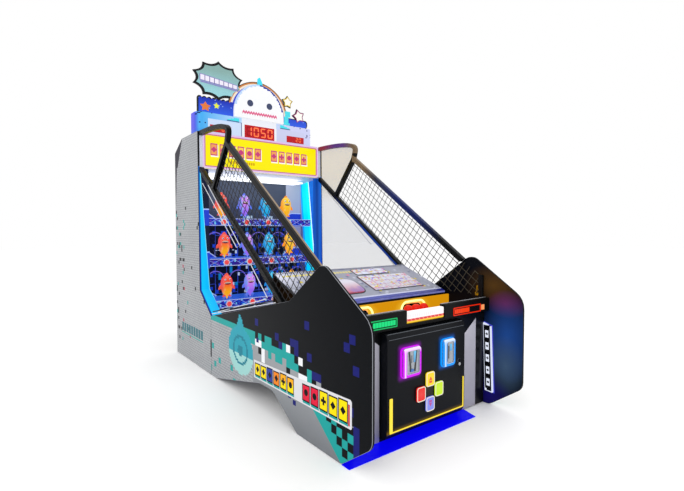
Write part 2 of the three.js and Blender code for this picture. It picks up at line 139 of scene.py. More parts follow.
class Paint:
    """One material, painted in the object's own coordinates."""

    def __init__(self, name):
        self.material = bpy.data.materials.new(name)
        self.material.use_nodes = True
        self.tree = self.material.node_tree
        self.shader = self.tree.nodes["Principled BSDF"]
        self.coord = self.node("ShaderNodeTexCoord")
        self.vector = self.coord.outputs["Object"]

    def node(self, kind, **settings):
        made = self.tree.nodes.new(kind)
        for key, value in settings.items():
            setattr(made, key, value)
        return made

    def put(self, value, socket):
        if isinstance(value, Field):
            self.tree.links.new(value.socket, socket)
        elif isinstance(value, bpy.types.NodeSocket):
            self.tree.links.new(value, socket)
        else:
            socket.default_value = value

    def math(self, operation, *values):
        made = self.node("ShaderNodeMath", operation=operation)
        for value, socket in zip(values, made.inputs):
            self.put(value, socket)
        return Field(self, made.outputs[0])

    def split(self, socket):
        made = self.node("ShaderNodeSeparateXYZ")
        self.put(socket, made.inputs[0])
        return [Field(self, out) for out in made.outputs]

    def place(self):
        """x, y and z in millimetres, with y counted from the front edge of the side boards."""
        x, y, z = self.split(self.vector)
        return x * 1000, (y - FRONT) * 1000, z * 1000

    def facing(self):
        """How far the surface faces along x, y and z."""
        return self.split(self.coord.outputs["Normal"])

    def join(self, *parts):
        made = self.node("ShaderNodeCombineXYZ")
        for value, socket in zip(parts, made.inputs):
            self.put(value, socket)
        return made.outputs[0]

    def dice(self, *parts):
        """A random number from 0 to 1 for each set of whole numbers."""
        made = self.node("ShaderNodeTexWhiteNoise", noise_dimensions="3D")
        self.put(self.join(*parts), made.inputs[0])
        return Field(self, made.outputs["Value"])

    def noise(self, scale, detail=3.0, vector=None):
        made = self.node("ShaderNodeTexNoise")
        self.put(vector or self.vector, made.inputs["Vector"])
        made.inputs["Scale"].default_value = scale
        made.inputs["Detail"].default_value = detail
        return Field(self, made.outputs["Fac"])

    def mix(self, mask, under, over):
        made = self.node("ShaderNodeMix", data_type="RGBA")
        for value, socket in ((mask, made.inputs[0]), (under, made.inputs[6]), (over, made.inputs[7])):
            self.put(value, socket)
        return made.outputs[2]

    def layers(self, base, *layers):
        """Colours laid over each other, each with the mask that shows it."""
        for mask, colour in layers:
            base = self.mix(mask, base, colour)
        return base

    def worn(self, colour, amount=0.06, scale=14.0):
        """The colour with the faint unevenness of a handled surface."""
        cloud = self.noise(scale, 5.0)
        darker = self.node("ShaderNodeMix", data_type="RGBA", blend_type="MULTIPLY")
        self.put(colour, darker.inputs[6])
        darker.inputs[7].default_value = (1 - 2 * amount, 1 - 2 * amount, 1 - 2 * amount, 1)
        self.put(cloud, darker.inputs[0])
        return darker.outputs[2]

    def dim(self, colour, keep):
        return self.mix(1.0 - keep, colour, (0.0, 0.0, 0.0, 1.0))

    def finish(self, base, rough=0.4, metal=0.0, coat=0.0, lamp=0.0, glow=None, power=0.0, grain=None,
               depth=0.0003, smudge=0.12, opacity=None, specular=None, worn=0.05):
        """Sets the shader. With lamp, the colour itself shines that strongly and reflects that much less."""
        put = self.shader.inputs
        if lamp:
            glow, power = base, lamp
            base = self.dim(base, max(0.06, 1.0 - lamp))
        self.put(self.worn(base, worn) if worn else base, put["Base Color"])
        put["Metallic"].default_value = metal
        put["Coat Weight"].default_value = coat
        put["Coat Roughness"].default_value = 0.06
        if specular is not None:
            put["Specular IOR Level"].default_value = specular
        if smudge:
            smear = self.noise(9.0, 6.0)
            self.put(rough + (smear - 0.5) * smudge, put["Roughness"])
        else:
            put["Roughness"].default_value = rough
        if glow is not None:
            self.put(glow, put["Emission Color"])
            put["Emission Strength"].default_value = power
        if opacity is not None:
            self.put(opacity, put["Alpha"])
        if grain is None:
            grain = self.noise(420.0, 2.0)
        bump = self.node("ShaderNodeBump")
        bump.inputs["Strength"].default_value = 0.25
        bump.inputs["Distance"].default_value = depth
        self.put(grain, bump.inputs["Height"])
        self.put(bump.outputs[0], put["Normal"])
        return self.material


def moulded(name, colour, rough=0.32, coat=0.3, **more):
    """Moulded plastic or paint in one colour, with its fine orange-peel skin."""
    return Paint(name).finish(colour, rough, coat=coat, **more)


def lit(name, colour, power=1.0, pale=0.2, **more):
    """Lit acrylic or a light tube: a colour that glows, a little paler in patches."""
    paint = Paint(name)
    cloud = paint.noise(18.0, 2.0)
    tone = paint.mix(cloud * pale, colour, (1.0, 1.0, 1.0, 1.0))
    return paint.finish(tone, 0.25, lamp=power, smudge=0.05, worn=0.0, specular=0.2, **more)


# ---------------------------------------------------------------- shapes


def show(
    name, mesh, material, body, slot=None, smooth=35.0, bevel=0.0, segments=2, at=None, outward_only=False,
):
    """An object made from a mesh or bmesh, with its edges eased, riding on a body.

    With outward_only, the edges that fold inwards stay sharp.
    """
    if isinstance(mesh, bmesh.types.BMesh):
        bmesh.ops.recalc_face_normals(mesh, faces=mesh.faces)
        if outward_only:
            weight = mesh.edges.layers.float.new("bevel_weight_edge")
            for e in mesh.edges:
                if len(e.link_faces) == 2 and e.is_convex and e.calc_face_angle() > 0.6:
                    e[weight] = 1.0
        data = bpy.data.meshes.new(name)
        mesh.to_mesh(data)
        mesh.free()
        mesh = data
    mesh.materials.clear()
    mesh.materials.append(material)
    obj = bpy.data.objects.new(name, mesh)
    bpy.context.scene.collection.objects.link(obj)
    if at is not None:
        obj.location = at
    if smooth:
        mesh.shade_smooth()
        mesh.set_sharp_from_angle(angle=math.radians(smooth))
    if bevel:
        ease = obj.modifiers.new("ease", "BEVEL")
        ease.width = bevel
        ease.segments = segments
        ease.limit_method = "WEIGHT" if outward_only else "ANGLE"
        ease.angle_limit = math.radians(smooth or 35)
        ease.harden_normals = True
    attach(obj, body)
    return obj


def spot(axis, u, v, w):
    return {"x": (w, u, v), "y": (u, w, v), "z": (u, v, w)}[axis]


def prism(mesh, near_points, far_points):
    """Adds a solid between two outlines that have the same number of points."""
    near = [mesh.verts.new(p) for p in near_points]
    far = [mesh.verts.new(p) for p in far_points]
    mesh.faces.new(near)
    mesh.faces.new(far[::-1])
    for i in range(len(near)):
        j = (i + 1) % len(near)
        mesh.faces.new((near[i], far[i], far[j], near[j]))


def slabs(name, outlines, axis, span, material, body, **more):
    """Flat shapes pushed through from one place on an axis to another, as one object."""
    mesh = bmesh.new()
    for points in outlines:
        prism(mesh, *([spot(axis, u, v, w) for u, v in points] for w in span))
    return show(name, mesh, material, body, **more)


def proud(face, depth, start=0.2):
    """The span, along y, of a mark that stands from start to depth millimetres in front of a face."""
    return face - mm(depth), face - mm(start)


def plaque(name, outlines, face, depth, material, body="cabinet", start=0.2, **more):
    """Flat shapes that stand in front of a face."""
    return slabs(name, outlines, "y", proud(face, depth, start), material, body, **more)


def rounded(u0, u1, v0, v1, radius=0.0, steps=4):
    """The outline of a rectangle with round corners."""
    if not radius:
        return [(u0, v0), (u1, v0), (u1, v1), (u0, v1)]
    points = []
    corners = (
        (u1 - radius, v0 + radius, -90),
        (u1 - radius, v1 - radius, 0),
        (u0 + radius, v1 - radius, 90),
        (u0 + radius, v0 + radius, 180),
    )
    for cu, cv, start in corners:
        for i in range(steps + 1):
            angle = math.radians(start + 90 * i / steps)
            points.append((cu + radius * math.cos(angle), cv + radius * math.sin(angle)))
    return points


def circle(u, v, radius, steps=24, squeeze=1.0):
    turn = [2 * math.pi * i / steps for i in range(steps)]
    return [(u + radius * math.cos(a), v + radius * squeeze * math.sin(a)) for a in turn]


def star(u, v, ru, rv, spikes, share, turn=0.0, curve=0):
    """A star's outline. With curve, the edges between its spikes bow inwards in that many steps."""
    tips = []
    for i in range(2 * spikes):
        angle = turn + math.pi * i / spikes
        reach = share if i % 2 else 1.0
        tips.append(Vector((u + ru * reach * math.cos(angle), v + rv * reach * math.sin(angle))))
    if not curve:
        return [tuple(p) for p in tips]
    points = []
    for i in range(0, 2 * spikes, 2):
        a, m, b = tips[i], tips[i + 1], tips[(i + 2) % (2 * spikes)]
        control = 2 * m - (a + b) / 2
        for k in range(curve):
            t = k / curve
            points.append(tuple(a * (1 - t) ** 2 + control * 2 * t * (1 - t) + b * t * t))
    return points


def frame_ring(name, outer, inner, axis, span, material, body, **more):
    """A ring between two outlines that have the same number of points."""
    mesh = bmesh.new()
    rings = [
        [mesh.verts.new(spot(axis, u, v, w)) for u, v in points] for points in (outer, inner) for w in span
    ]
    for a, b in ((0, 1), (1, 3), (3, 2), (2, 0)):
        for i in range(len(outer)):
            j = (i + 1) % len(outer)
            mesh.faces.new((rings[a][i], rings[a][j], rings[b][j], rings[b][i]))
    return show(name, mesh, material, body, **more)


def sweep(mesh, points, radius, sides=8, closed=False, flat=1.0):
    """Adds a round bar along a row of points to a bmesh."""
    path = [Vector(p) for p in points]
    count = len(path)
    rings = []
    up = None
    for i, p in enumerate(path):
        before = path[i - 1] if closed or i else path[i]
        after = path[(i + 1) % count] if closed or i < count - 1 else path[i]
        along = (after - before).normalized()
        if up is None:
            up = along.orthogonal().normalized()
        up = (up - along * up.dot(along)).normalized()
        side = along.cross(up)
        ring = []
        for k in range(sides):
            angle = 2 * math.pi * k / sides
            ring.append(mesh.verts.new(p + (up * math.cos(angle) * flat + side * math.sin(angle)) * radius))
        rings.append(ring)
    pairs = [(rings[i], rings[i + 1]) for i in range(count - 1)]
    if closed:
        pairs.append((rings[-1], rings[0]))
    for a, b in pairs:
        for k in range(sides):
            n = (k + 1) % sides
            mesh.faces.new((a[k], a[n], b[n], b[k]))
    if not closed:
        mesh.faces.new(list(reversed(rings[0])))
        mesh.faces.new(rings[-1])


def bars(name, paths, radius, material, body, sides=8, closed=False, **more):
    mesh = bmesh.new()
    for path in paths:
        sweep(mesh, path, radius, sides, closed)
    return show(name, mesh, material, body, smooth=60.0, **more)


def turned(name, profile, centres, axis, material, body, steps=24, **more):
    """A profile of (radius, distance along the axis) turned round each centre."""
    mesh = bmesh.new()
    for centre in centres:
        rings = []
        for radius, along in profile:
            if radius < 1e-6:
                rings.append([mesh.verts.new(Vector(centre) + Vector(spot(axis, 0, 0, along)))])
                continue
            rings.append(
                [
                    mesh.verts.new(Vector(centre) + Vector(spot(axis, u, v, along)))
                    for u, v in circle(0, 0, radius, steps)
                ]
            )
        for a, b in zip(rings, rings[1:]):
            for k in range(steps):
                n = (k + 1) % steps
                if len(a) == 1:
                    mesh.faces.new((a[0], b[n], b[k]))
                elif len(b) == 1:
                    mesh.faces.new((a[k], a[n], b[0]))
                else:
                    mesh.faces.new((a[k], a[n], b[n], b[k]))
        for ring in (rings[0], rings[-1]):
            if len(ring) > 1:
                mesh.faces.new(ring)
    return show(name, mesh, material, body, smooth=50.0, **more)


def eased(node, material, width=0.0025, segments=2, **more):
    """A copy of a CAD node with eased edges, which stands for the node."""
    mesh = bmesh.new()
    mesh.from_mesh(NODES[node].data)
    bmesh.ops.remove_doubles(mesh, verts=mesh.verts, dist=1e-6)
    bmesh.ops.dissolve_limit(mesh, angle_limit=math.radians(0.6), verts=mesh.verts, edges=mesh.edges)
    obj = show(
        node + "_skin", mesh, material, BODY[node], SLOTS[node], bevel=width, segments=segments, **more,
    )
    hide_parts(node)
    return obj


def dress(node, material):
    """Gives a CAD node that keeps its shape a finished material."""
    data = NODES[node].data
    data.materials.clear()
    data.materials.append(material)


def mid(node):
    low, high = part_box(node)
    return (low + high) / 2


def mm(value):
    return value / 1000


def at_y(value):
    """A distance in millimetres behind the side boards' front edge, as a y."""
    return FRONT + value / 1000


# ---------------------------------------------------------------- printed boards

BLACK = rgb("05070c")
NAVY = rgb("181c6c")
TEAL = rgb("1fa09c")
WHITE = (0.86, 0.87, 0.9, 1.0)
PIXEL = 46.0  # side of one printed square, mm
SEAM = 1997.0  # where the front boards meet the cabinet


def pixels(y, z, size=PIXEL):
    """The middle of the square that a point is in, and the square's own numbers."""
    cy, cz = (y / size).floor(), (z / size).floor()
    return (cy + 0.5) * size, (cz + 0.5) * size, cy, cz


def brick(y, z):
    """Mask of the mortar lines of a small brick pattern."""
    height, length, joint = 21.0, 46.0, 3.0
    row = (z / height).floor()
    shift = (row * 0.5).frac()
    across = (y / length + shift).frac() * length < joint
    level = (z / height).frac() * height < joint
    return across | level


def brick_white(paint, y, z):
    shade = paint.noise(3.0, 2.0)
    base = paint.mix(shade, rgb("b6b9bb"), rgb("a2a5a8"))
    tile = paint.dice((y / 46.0).floor(), (z / 21.0).floor(), 3.0)
    base = paint.mix(tile * 0.35, base, rgb("9d9da4"))
    return paint.mix(brick(y, z), base, rgb("72727a"))


def icon(du, dv, kind, size):
    """Mask of a plain diamond, dot or cross about a tile's middle."""
    u, v = du.abs() / size, dv.abs() / size
    diamond = (kind < 0.34) & (u + v < 1.0)
    dot = kind.within(0.34, 0.67) & (u * u + v * v < 0.72)
    cross = (kind > 0.67) & ((u < 0.34) | (v < 0.34)) & (u < 1.0) & (v < 1.0)
    return diamond | dot | cross


def seam_mark(y, z):
    """Mask of the dark plate that shows at the seam."""
    return y.near(SEAM, 14.0) & z.near(222.0, 70.0)


def board_art_and_reflections():
    """The side boards: a night field breaking into teal and white squares, over a white brick corner."""
    paint = Paint("side_board_print")
    x, y, z = paint.place()
    nx, _, _ = paint.facing()
    qy, qz, cy, cz = pixels(y, z)
    chance = paint.dice(cy, cz, 2.0)
    column = paint.dice(cy, 1.0, 1.0) - 0.5

    calm = qy.ramp(1650.0, 1150.0)
    fall = (800.0 - qy).ramp(0.0, 1000.0) * 457.0
    skyline = 500.0 - fall + column * 80.0 * calm
    night = qz > skyline
    navy = night & (qz < skyline + 110.0) & (chance > 0.80) & (qy < 1300.0)
    lone_at = ((554.0, 658.0), (191.0, 611.0), (147.0, 658.0), (118.0, 509.0))
    lone = any_of([y.near(u, 24.0) & z.near(v, 24.0) for u, v in lone_at])
    teal_low = 430.0 + (qy - 1240.0) * 0.06 - paint.dice(cy, 1.0, 3.0) * 100.0 * calm
    teal = ~night & (qz > teal_low) & (qy > 420.0)
    speck = paint.dice(cy, cz, 7.0)
    hole = teal & (speck > 0.88) & (qy < 1200.0)
    dark = ~night & (speck < 0.12) & (qz > teal_low - 50.0) & (qy < 1180.0) & (qy > 420.0)

    # the front corner: a teal wedge chequered black, ending in navy
    wedge = (y < 235.0 + z * 1.29) & (z < 225.0)
    ragged = (qy < 205.0 + qz * 0.75) & (((cy + cz) * 0.5).frac() > 0.25)
    front_navy = (qy < 140.0) & (z < 235.0)
    front_night = qy < 92.0
    crumbs_at = ((745.0, 204.0), (690.0, 177.0), (1262.0, 250.0), (1160.0, 455.0))
    crumbs = any_of([y.near(u, 17.0) & z.near(v, 15.0) for u, v in crumbs_at])

    # a plain roundel with a stepped crest
    hub_y, hub_z = 1433.0, 328.0
    fine_y, fine_z, _, _ = pixels(y, z, 15.0)
    ru, rv = (fine_y - hub_y) / 205.0, (fine_z - hub_z) / 174.0
    radius = (ru * ru + rv * rv).root()
    disc = radius < 1.0
    crest = ((fine_y - hub_y).abs() < (604.0 - fine_z) * 0.55) & fine_z.within(490.0, 592.0)
    belly = disc & (rv < -0.12)
    ring = radius.within(0.50, 0.62)
    core = radius < 0.22

    # a row of plain coloured tiles on a white plate
    row_start, pitch = 1205.0, 85.5
    lean = z - 205.0 - (row_start - y) * 0.016
    tall = 82.0 + (row_start - y) * 0.026
    slot = (row_start - y) / pitch
    index = slot.floor()
    f = slot.frac()
    row = slot.within(0.0, 12.0) & ~index.within(5.5, 6.5)
    plate_end = y - 150.0
    plate = (plate_end > 0.0) & (y < 1215.0) & (lean > -14.0) & (lean < tall + 26.0)
    corner = ((16.0 - plate_end) | 0.0) + ((lean - tall - 8.0) | 0.0) + ((4.0 - (lean + 14.0) + 12.0) | 0.0)
    plate = plate & (corner < 24.0)
    kind = paint.dice(index, 9.0, 4.0)
    hop = paint.dice(index, 4.0, 4.0) * 12.0
    outline = row & f.within(0.03, 0.97) & (lean > 6.0) & (lean < tall + 4.0 + hop)
    face = row & f.within(0.12, 0.88) & (lean > 14.0) & (lean < tall - 4.0 + hop)
    notch = icon((f - 0.5) * pitch, lean - 10.0 - tall * 0.5, kind, 23.0)
    tint = paint.layers(
        rgb("ffe100"),
        (index.near(2.0, 0.5), rgb("2b3f9e")),
        (index.near(3.0, 0.5), rgb("f5871c")),
        (index.near(7.5, 0.8), rgb("e21d3f")),
        ((lean > tall * 0.66) & (kind > 0.5) & (index < 6.5), rgb("ffb01c")),
    )
    shade = row & (f > 0.1) & lean.within(-5.0, 6.0)
    tail = (y < 180.0) & (y > 166.0) & (lean > 0.0) & (lean < tall)

    plain = paint.mix(z.ramp(0.0, 330.0), rgb("787b80"), rgb("9a9da1"))
    wall = paint.mix(y > 1230.0, plain, brick_white(paint, y, z))
    fleck = (paint.dice(cy, cz, 8.0) > 0.965) & (y > 1240.0)
    art = paint.layers(
        wall,
        (fleck, TEAL),
        (teal, TEAL),
        (hole, WHITE),
        (dark, BLACK),
        (wedge, TEAL),
        (wedge & ragged, BLACK),
        (night, BLACK),
        (navy | lone | crumbs, NAVY),
        (front_navy, NAVY),
        (front_night, BLACK),
        (disc | crest, rgb("2a9fb2")),
        (belly, rgb("9fd3cf")),
        (ring, rgb("1c7f92")),
        (core, rgb("1c7f92")),
        (plate, rgb("dcdce0")),
        (shade, TEAL),
        (tail, rgb("c4272f")),
        (outline, BLACK),
        (face, tint),
        (face & notch, BLACK),
        (seam_mark(y, z), rgb("2c2d31")),
    )

    # the inner face is gloss black with painted reflections: soft patches of orange, magenta and blue light, and a
    # small yellow warning label

    def haze(cy0, cz0, ry, rz):
        a, b = (y - cy0) / ry, (z - cz0) / rz
        return falloff(a, b)

    label_u, label_v = (y - 347.0).abs(), z - 738.0
    label = label_v.within(0.0, 72.0) & (
        (label_u < 17.0 - label_v * 0.22) & (label_v > 26.0) | (label_u < 17.0) & (label_v < 20.0)
    )
    label_mark = label_v.within(34.0, 56.0) & (label_u < 3.0)
    inner = paint.layers(
        rgb("090b12"),
        (haze(215.0, 820.0, 240.0, 150.0) * 0.55, rgb("6e4c1c")),
        (haze(125.0, 705.0, 150.0, 95.0) * 0.8, rgb("7a1238")),
        (haze(115.0, 490.0, 220.0, 310.0) * 0.95, rgb("24509c")),
        (haze(120.0, 290.0, 150.0, 210.0) * 0.9, rgb("46607c")),
        (haze(250.0, 60.0, 200.0, 160.0) * 0.6, rgb("241a90")),
        (label, rgb("d89c14")),
        (label & label_mark, rgb("1c1408")),
    )
    art = paint.mix(x.abs() > 645.0, inner, art)
    # painted highlight: the outer half of each board edge is silver-grey, a line of light along it; the rest of
    # the edge is near black
    edge = paint.mix(x.abs() > 645.5, rgb("0d0e11"), rgb("8d9096"))
    art = paint.mix(nx.abs() < 0.75, art, edge)
    return paint.finish(art, 0.32, specular=0.05, smudge=0.1, worn=0.04)


def cabinet_print():
    """The rear cabinet's side panels: white brick with stray squares and a dark rear corner."""
    paint = Paint("cabinet_print")
    x, y, z = paint.place()
    nx, _, _ = paint.facing()
    qy, qz, cy, cz = pixels(y, z, 30.0)
    wall = brick_white(paint, y, z)
    corner = y > 2676.0 + (2031.0 - z) * 0.55
    corner2 = y > 2822.0 + (1898.0 - z).abs() * 0.11
    dark = (corner & (z > 1790.0)) | (corner2 & z.within(1330.0, 1930.0))
    chance = paint.dice(cy, cz, 1.0)
    stray = chance > 0.985
    rear = (qy > 2620.0) & (chance > 0.90)
    squares = (stray | rear) & (qz < 1420.0) & (qz > 160.0) & (qy > 2080.0)
    hue = paint.dice(cy, cz, 2.0)
    tint = paint.layers(rgb("15161a"), (hue > 0.55, rgb("2f9f9a")), (hue > 0.9, rgb("b03a52")))
    bar_u = (2740.0 - y) / 62.0
    bar = bar_u.within(0.0, 9.0) & (bar_u.frac() > 0.22) & z.within(246.0, 326.0)
    bar_edge = bar_u.within(0.0, 9.0) & z.within(226.0, 236.0)
    art = paint.layers(
        wall,
        (squares, tint),
        (bar, rgb("2a6f7a")),
        (bar_edge, rgb("2fa39a")),
        (dark, rgb("161226")),
    )
    art = paint.mix(seam_mark(y, z), art, rgb("2c2d31"))
    # the inner face: painted light from the corner strips, a glowing cyan band and a glowing blue band nearest the
    # front with a pale painted highlight line between them, on a pale wall that is lighter towards the top
    rear = 2582.0 + (z - 975.0) * 0.115
    line = 2380.0 + (z - 940.0) * 0.139
    lit_wall = (x.abs() < 645.0) & (z < 1745.0) & (z > 480.0)
    blue = paint.mix(z.ramp(700.0, 1700.0), rgb("0a3cb4"), rgb("1468c4"))
    inner = paint.layers(
        paint.mix(z.ramp(300.0, 1700.0), rgb("7d86bc"), rgb("bcc1d2")),
        (y < rear, rgb("00d2f4")),
        ((y < rear) & (y > rear - 34.0), rgb("0a96e0")),
        (y < line + 60.0, rgb("00f0fa")),
        ((y < line + 14.0), rgb("d4f8ff")),
        ((y < line), blue),
    )
    art = paint.mix(x.abs() > 645.0, inner, art)
    glow = paint.mix(lit_wall & (y < rear), (0.0, 0.0, 0.0, 1.0), inner)
    art = paint.mix(nx.abs() < 0.75, art, rgb("121317"))
    return paint.finish(art, 0.38, glow=glow, power=0.8, specular=0.1, worn=0.05)


def make_boards():
    boards = board_art_and_reflections()
    cabinet = cabinet_print()
    for side in ("left", "right"):
        eased("side_board_" + side, boards, 0.004, 3)
        eased("side_panel_" + side, cabinet, 0.003, 2)

    paint = Paint("black_laminate")
    x, y, z = paint.place()
    _, ny, _ = paint.facing()
    grain = paint.noise(160.0, 4.0)
    rows = ((z - 330.0) / 22.0).frac()
    column = ((x.abs() - 115.0).abs() < 90.0) & (ny > 0.5)
    slots = column & (rows < 0.42) & (z.near(430.0, 100.0) | z.near(1290.0, 100.0))
    lip = column & rows.within(0.42, 0.54) & (z.near(430.0, 100.0) | z.near(1290.0, 100.0))
    u, v = x + 235.0, z - 860.0
    radius = (u * u + v * v).root()
    plate = (x - 420.0).abs() < 62.0
    plate = plate & z.near(190.0, 44.0) & (ny > 0.5) & (y > 2800.0)
    socket = plate & x.near(440.0, 26.0) & z.near(190.0, 20.0)
    switch = plate & x.near(384.0, 11.0) & z.near(190.0, 17.0)
    tone = paint.layers(
        paint.mix(grain, rgb("08090b"), rgb("101114")),
        (slots, rgb("000000")),
        (lip, rgb("3a3c42")),
        ((radius < 16.0) & (ny > 0.5), rgb("8c9096")),
        ((radius < 9.0) & ((u.abs() < 1.6) | (radius > 7.5)) & (ny > 0.5), rgb("202226")),
        (plate, rgb("2b2d33")),
        (socket, rgb("050506")),
        (switch, rgb("a01818")),
    )
    height = grain * 0.2 - slots * 1.0 + lip * 0.5 + plate * 0.6 - socket * 0.8
    laminate = paint.finish(tone, 0.42, specular=0.1, grain=height, depth=0.0015)
    eased("back_panel", laminate)
    eased("service_door", laminate)

    paint = Paint("roof_print")
    _, y, _ = paint.place()
    slat = (y / 40.0).frac() < 0.08
    roof = paint.finish(paint.mix(slat, rgb("2a2244"), rgb("15101f")), 0.4, coat=0.1)
    eased("roof_panel", roof)

    # join plates behind the seam between the front boards and the cabinet
    clasp = moulded("clasp_grey", rgb("2c2d30"), 0.45, 0.0, specular=0.2)
    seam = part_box("side_board_left")[1].y
    for side, name in ((-1, "left"), (1, "right")):
        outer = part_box("side_board_" + name)[0 if side < 0 else 1].x
        inner = outer - side * mm(21)
        span = sorted((outer - side * mm(18.6), inner))
        slabs(
            "seam_plate_" + name,
            [rounded(seam - mm(60), seam + mm(60), 0.14, 0.30, mm(8))],
            "x", span, clasp, "cabinet", bevel=0.0008,
        )


# ---------------------------------------------------------------- cages, nets and clear sheets


def outline_edges(node, x):
    """The edges, as pairs of (y, z), that bound a flat upright node's face at that x."""
    mesh = bmesh.new()
    mesh.from_mesh(NODES[node].data)
    bmesh.ops.remove_doubles(mesh, verts=mesh.verts, dist=1e-6)
    found = []
    for edge in mesh.edges:
        if all(abs(v.co.x - x) < 1e-5 for v in edge.verts):
            flat = [abs(f.normal.x) > 0.9 for f in edge.link_faces]
            if flat.count(True) == 1:
                found.append(tuple((v.co.y, v.co.z) for v in edge.verts))
    mesh.free()
    return found


def crossings(edges, origin, along):
    """Distances along a line at which it crosses the edges, in order."""
    hits = []
    for (ay, az), (by, bz) in edges:
        ey, ez = by - ay, bz - az
        det = along[0] * -ez + ey * along[1]
        if abs(det) < 1e-12:
            continue
        ry, rz = ay - origin[0], az - origin[1]
        t = (ry * -ez + ey * rz) / det
        s = (along[0] * rz - along[1] * ry) / det
        if 0 <= s <= 1:
            hits.append(t)
    return sorted(hits)


def make_nets():
    cord = Paint("net_cord")
    twist = cord.noise(900.0, 2.0)
    cord = cord.finish(cord.mix(twist, rgb("101013"), rgb("26262b")), 0.75, grain=twist, depth=0.0006)
    lit_cord = moulded("net_cord_lit", rgb("4a4438"), 0.75, 0.0, specular=0.2)
    post = moulded("post_black", rgb("07080a"), 0.4, 0.0, specular=0.15)
    cell = mm(50)
    for name in ("left", "right"):
        node = "net_" + name
        low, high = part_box(node)
        x = (low.x + high.x) / 2
        edges = outline_edges(node, high.x)
        longest = max(edges, key=lambda e: math.dist(*e))
        (ay, az), (by, bz) = longest
        length = math.dist(*longest)
        along = ((by - ay) / length, (bz - az) / length)
        across = (-along[1], along[0])
        mesh = bmesh.new()
        skirt = bmesh.new()
        corners = ((330, 745), (330, 892), (451, 965), (560, 1030), (806, 836), (606, 762), (590, 745))
        corners = [(at_y(v), mm(w)) for v, w in corners]
        hem = list(zip(corners, corners[1:] + corners[:1]))
        runs = []
        for direction, step, phase in ((along, across, 0.0), (across, along, 1.0)):
            for k in range(-60, 61):
                origin = (ay + step[0] * cell * (k + 0.5), az + step[1] * cell * (k + 0.5))
                runs.append((mesh, edges, direction, step, phase, k, origin))
                runs.append((skirt, hem, direction, step, phase, k, origin))
        for target, bounds, direction, step, phase, k, origin in runs:
            hits = crossings(bounds, origin, direction)
            for a, b in zip(hits[::2], hits[1::2]):
                if b - a < 0.012:
                    continue
                count = max(2, int((b - a) / 0.0125))
                points = []
                for i in range(count + 1):
                    t = a + (b - a) * i / count
                    sag = 0.0022 * math.sin(math.pi * i / count)
                    weave = 0.0012 * math.cos(math.pi * (t / cell + k + phase))
                    wobble = 0.0008 * math.sin(17 * t + 5 * k)
                    points.append((
                        x + weave,
                        origin[0] + direction[0] * t + step[0] * wobble,
                        origin[1] + direction[1] * t + step[1] * wobble - sag,
                    ))
                sweep(target, points, 0.0023, 6)
        net = show("net_mesh_" + name, mesh, cord, "cabinet", "net_cord", smooth=60.0)
        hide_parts(node)
        show(
            "net_skirt_" + name, skirt, cord if name == "left" else lit_cord, "cabinet", "net_cord",
            smooth=60.0,
        )
        side = -1 if name == "left" else 1
        near, far = sorted((side * mm(611), side * mm(631.5)))
        slabs(
            "net_post_" + name, [
                rounded(near, far, at_y(292), at_y(324), mm(3))
            ], "z", (mm(706), mm(884)), post, "cabinet",
            bevel=0.001,
        )


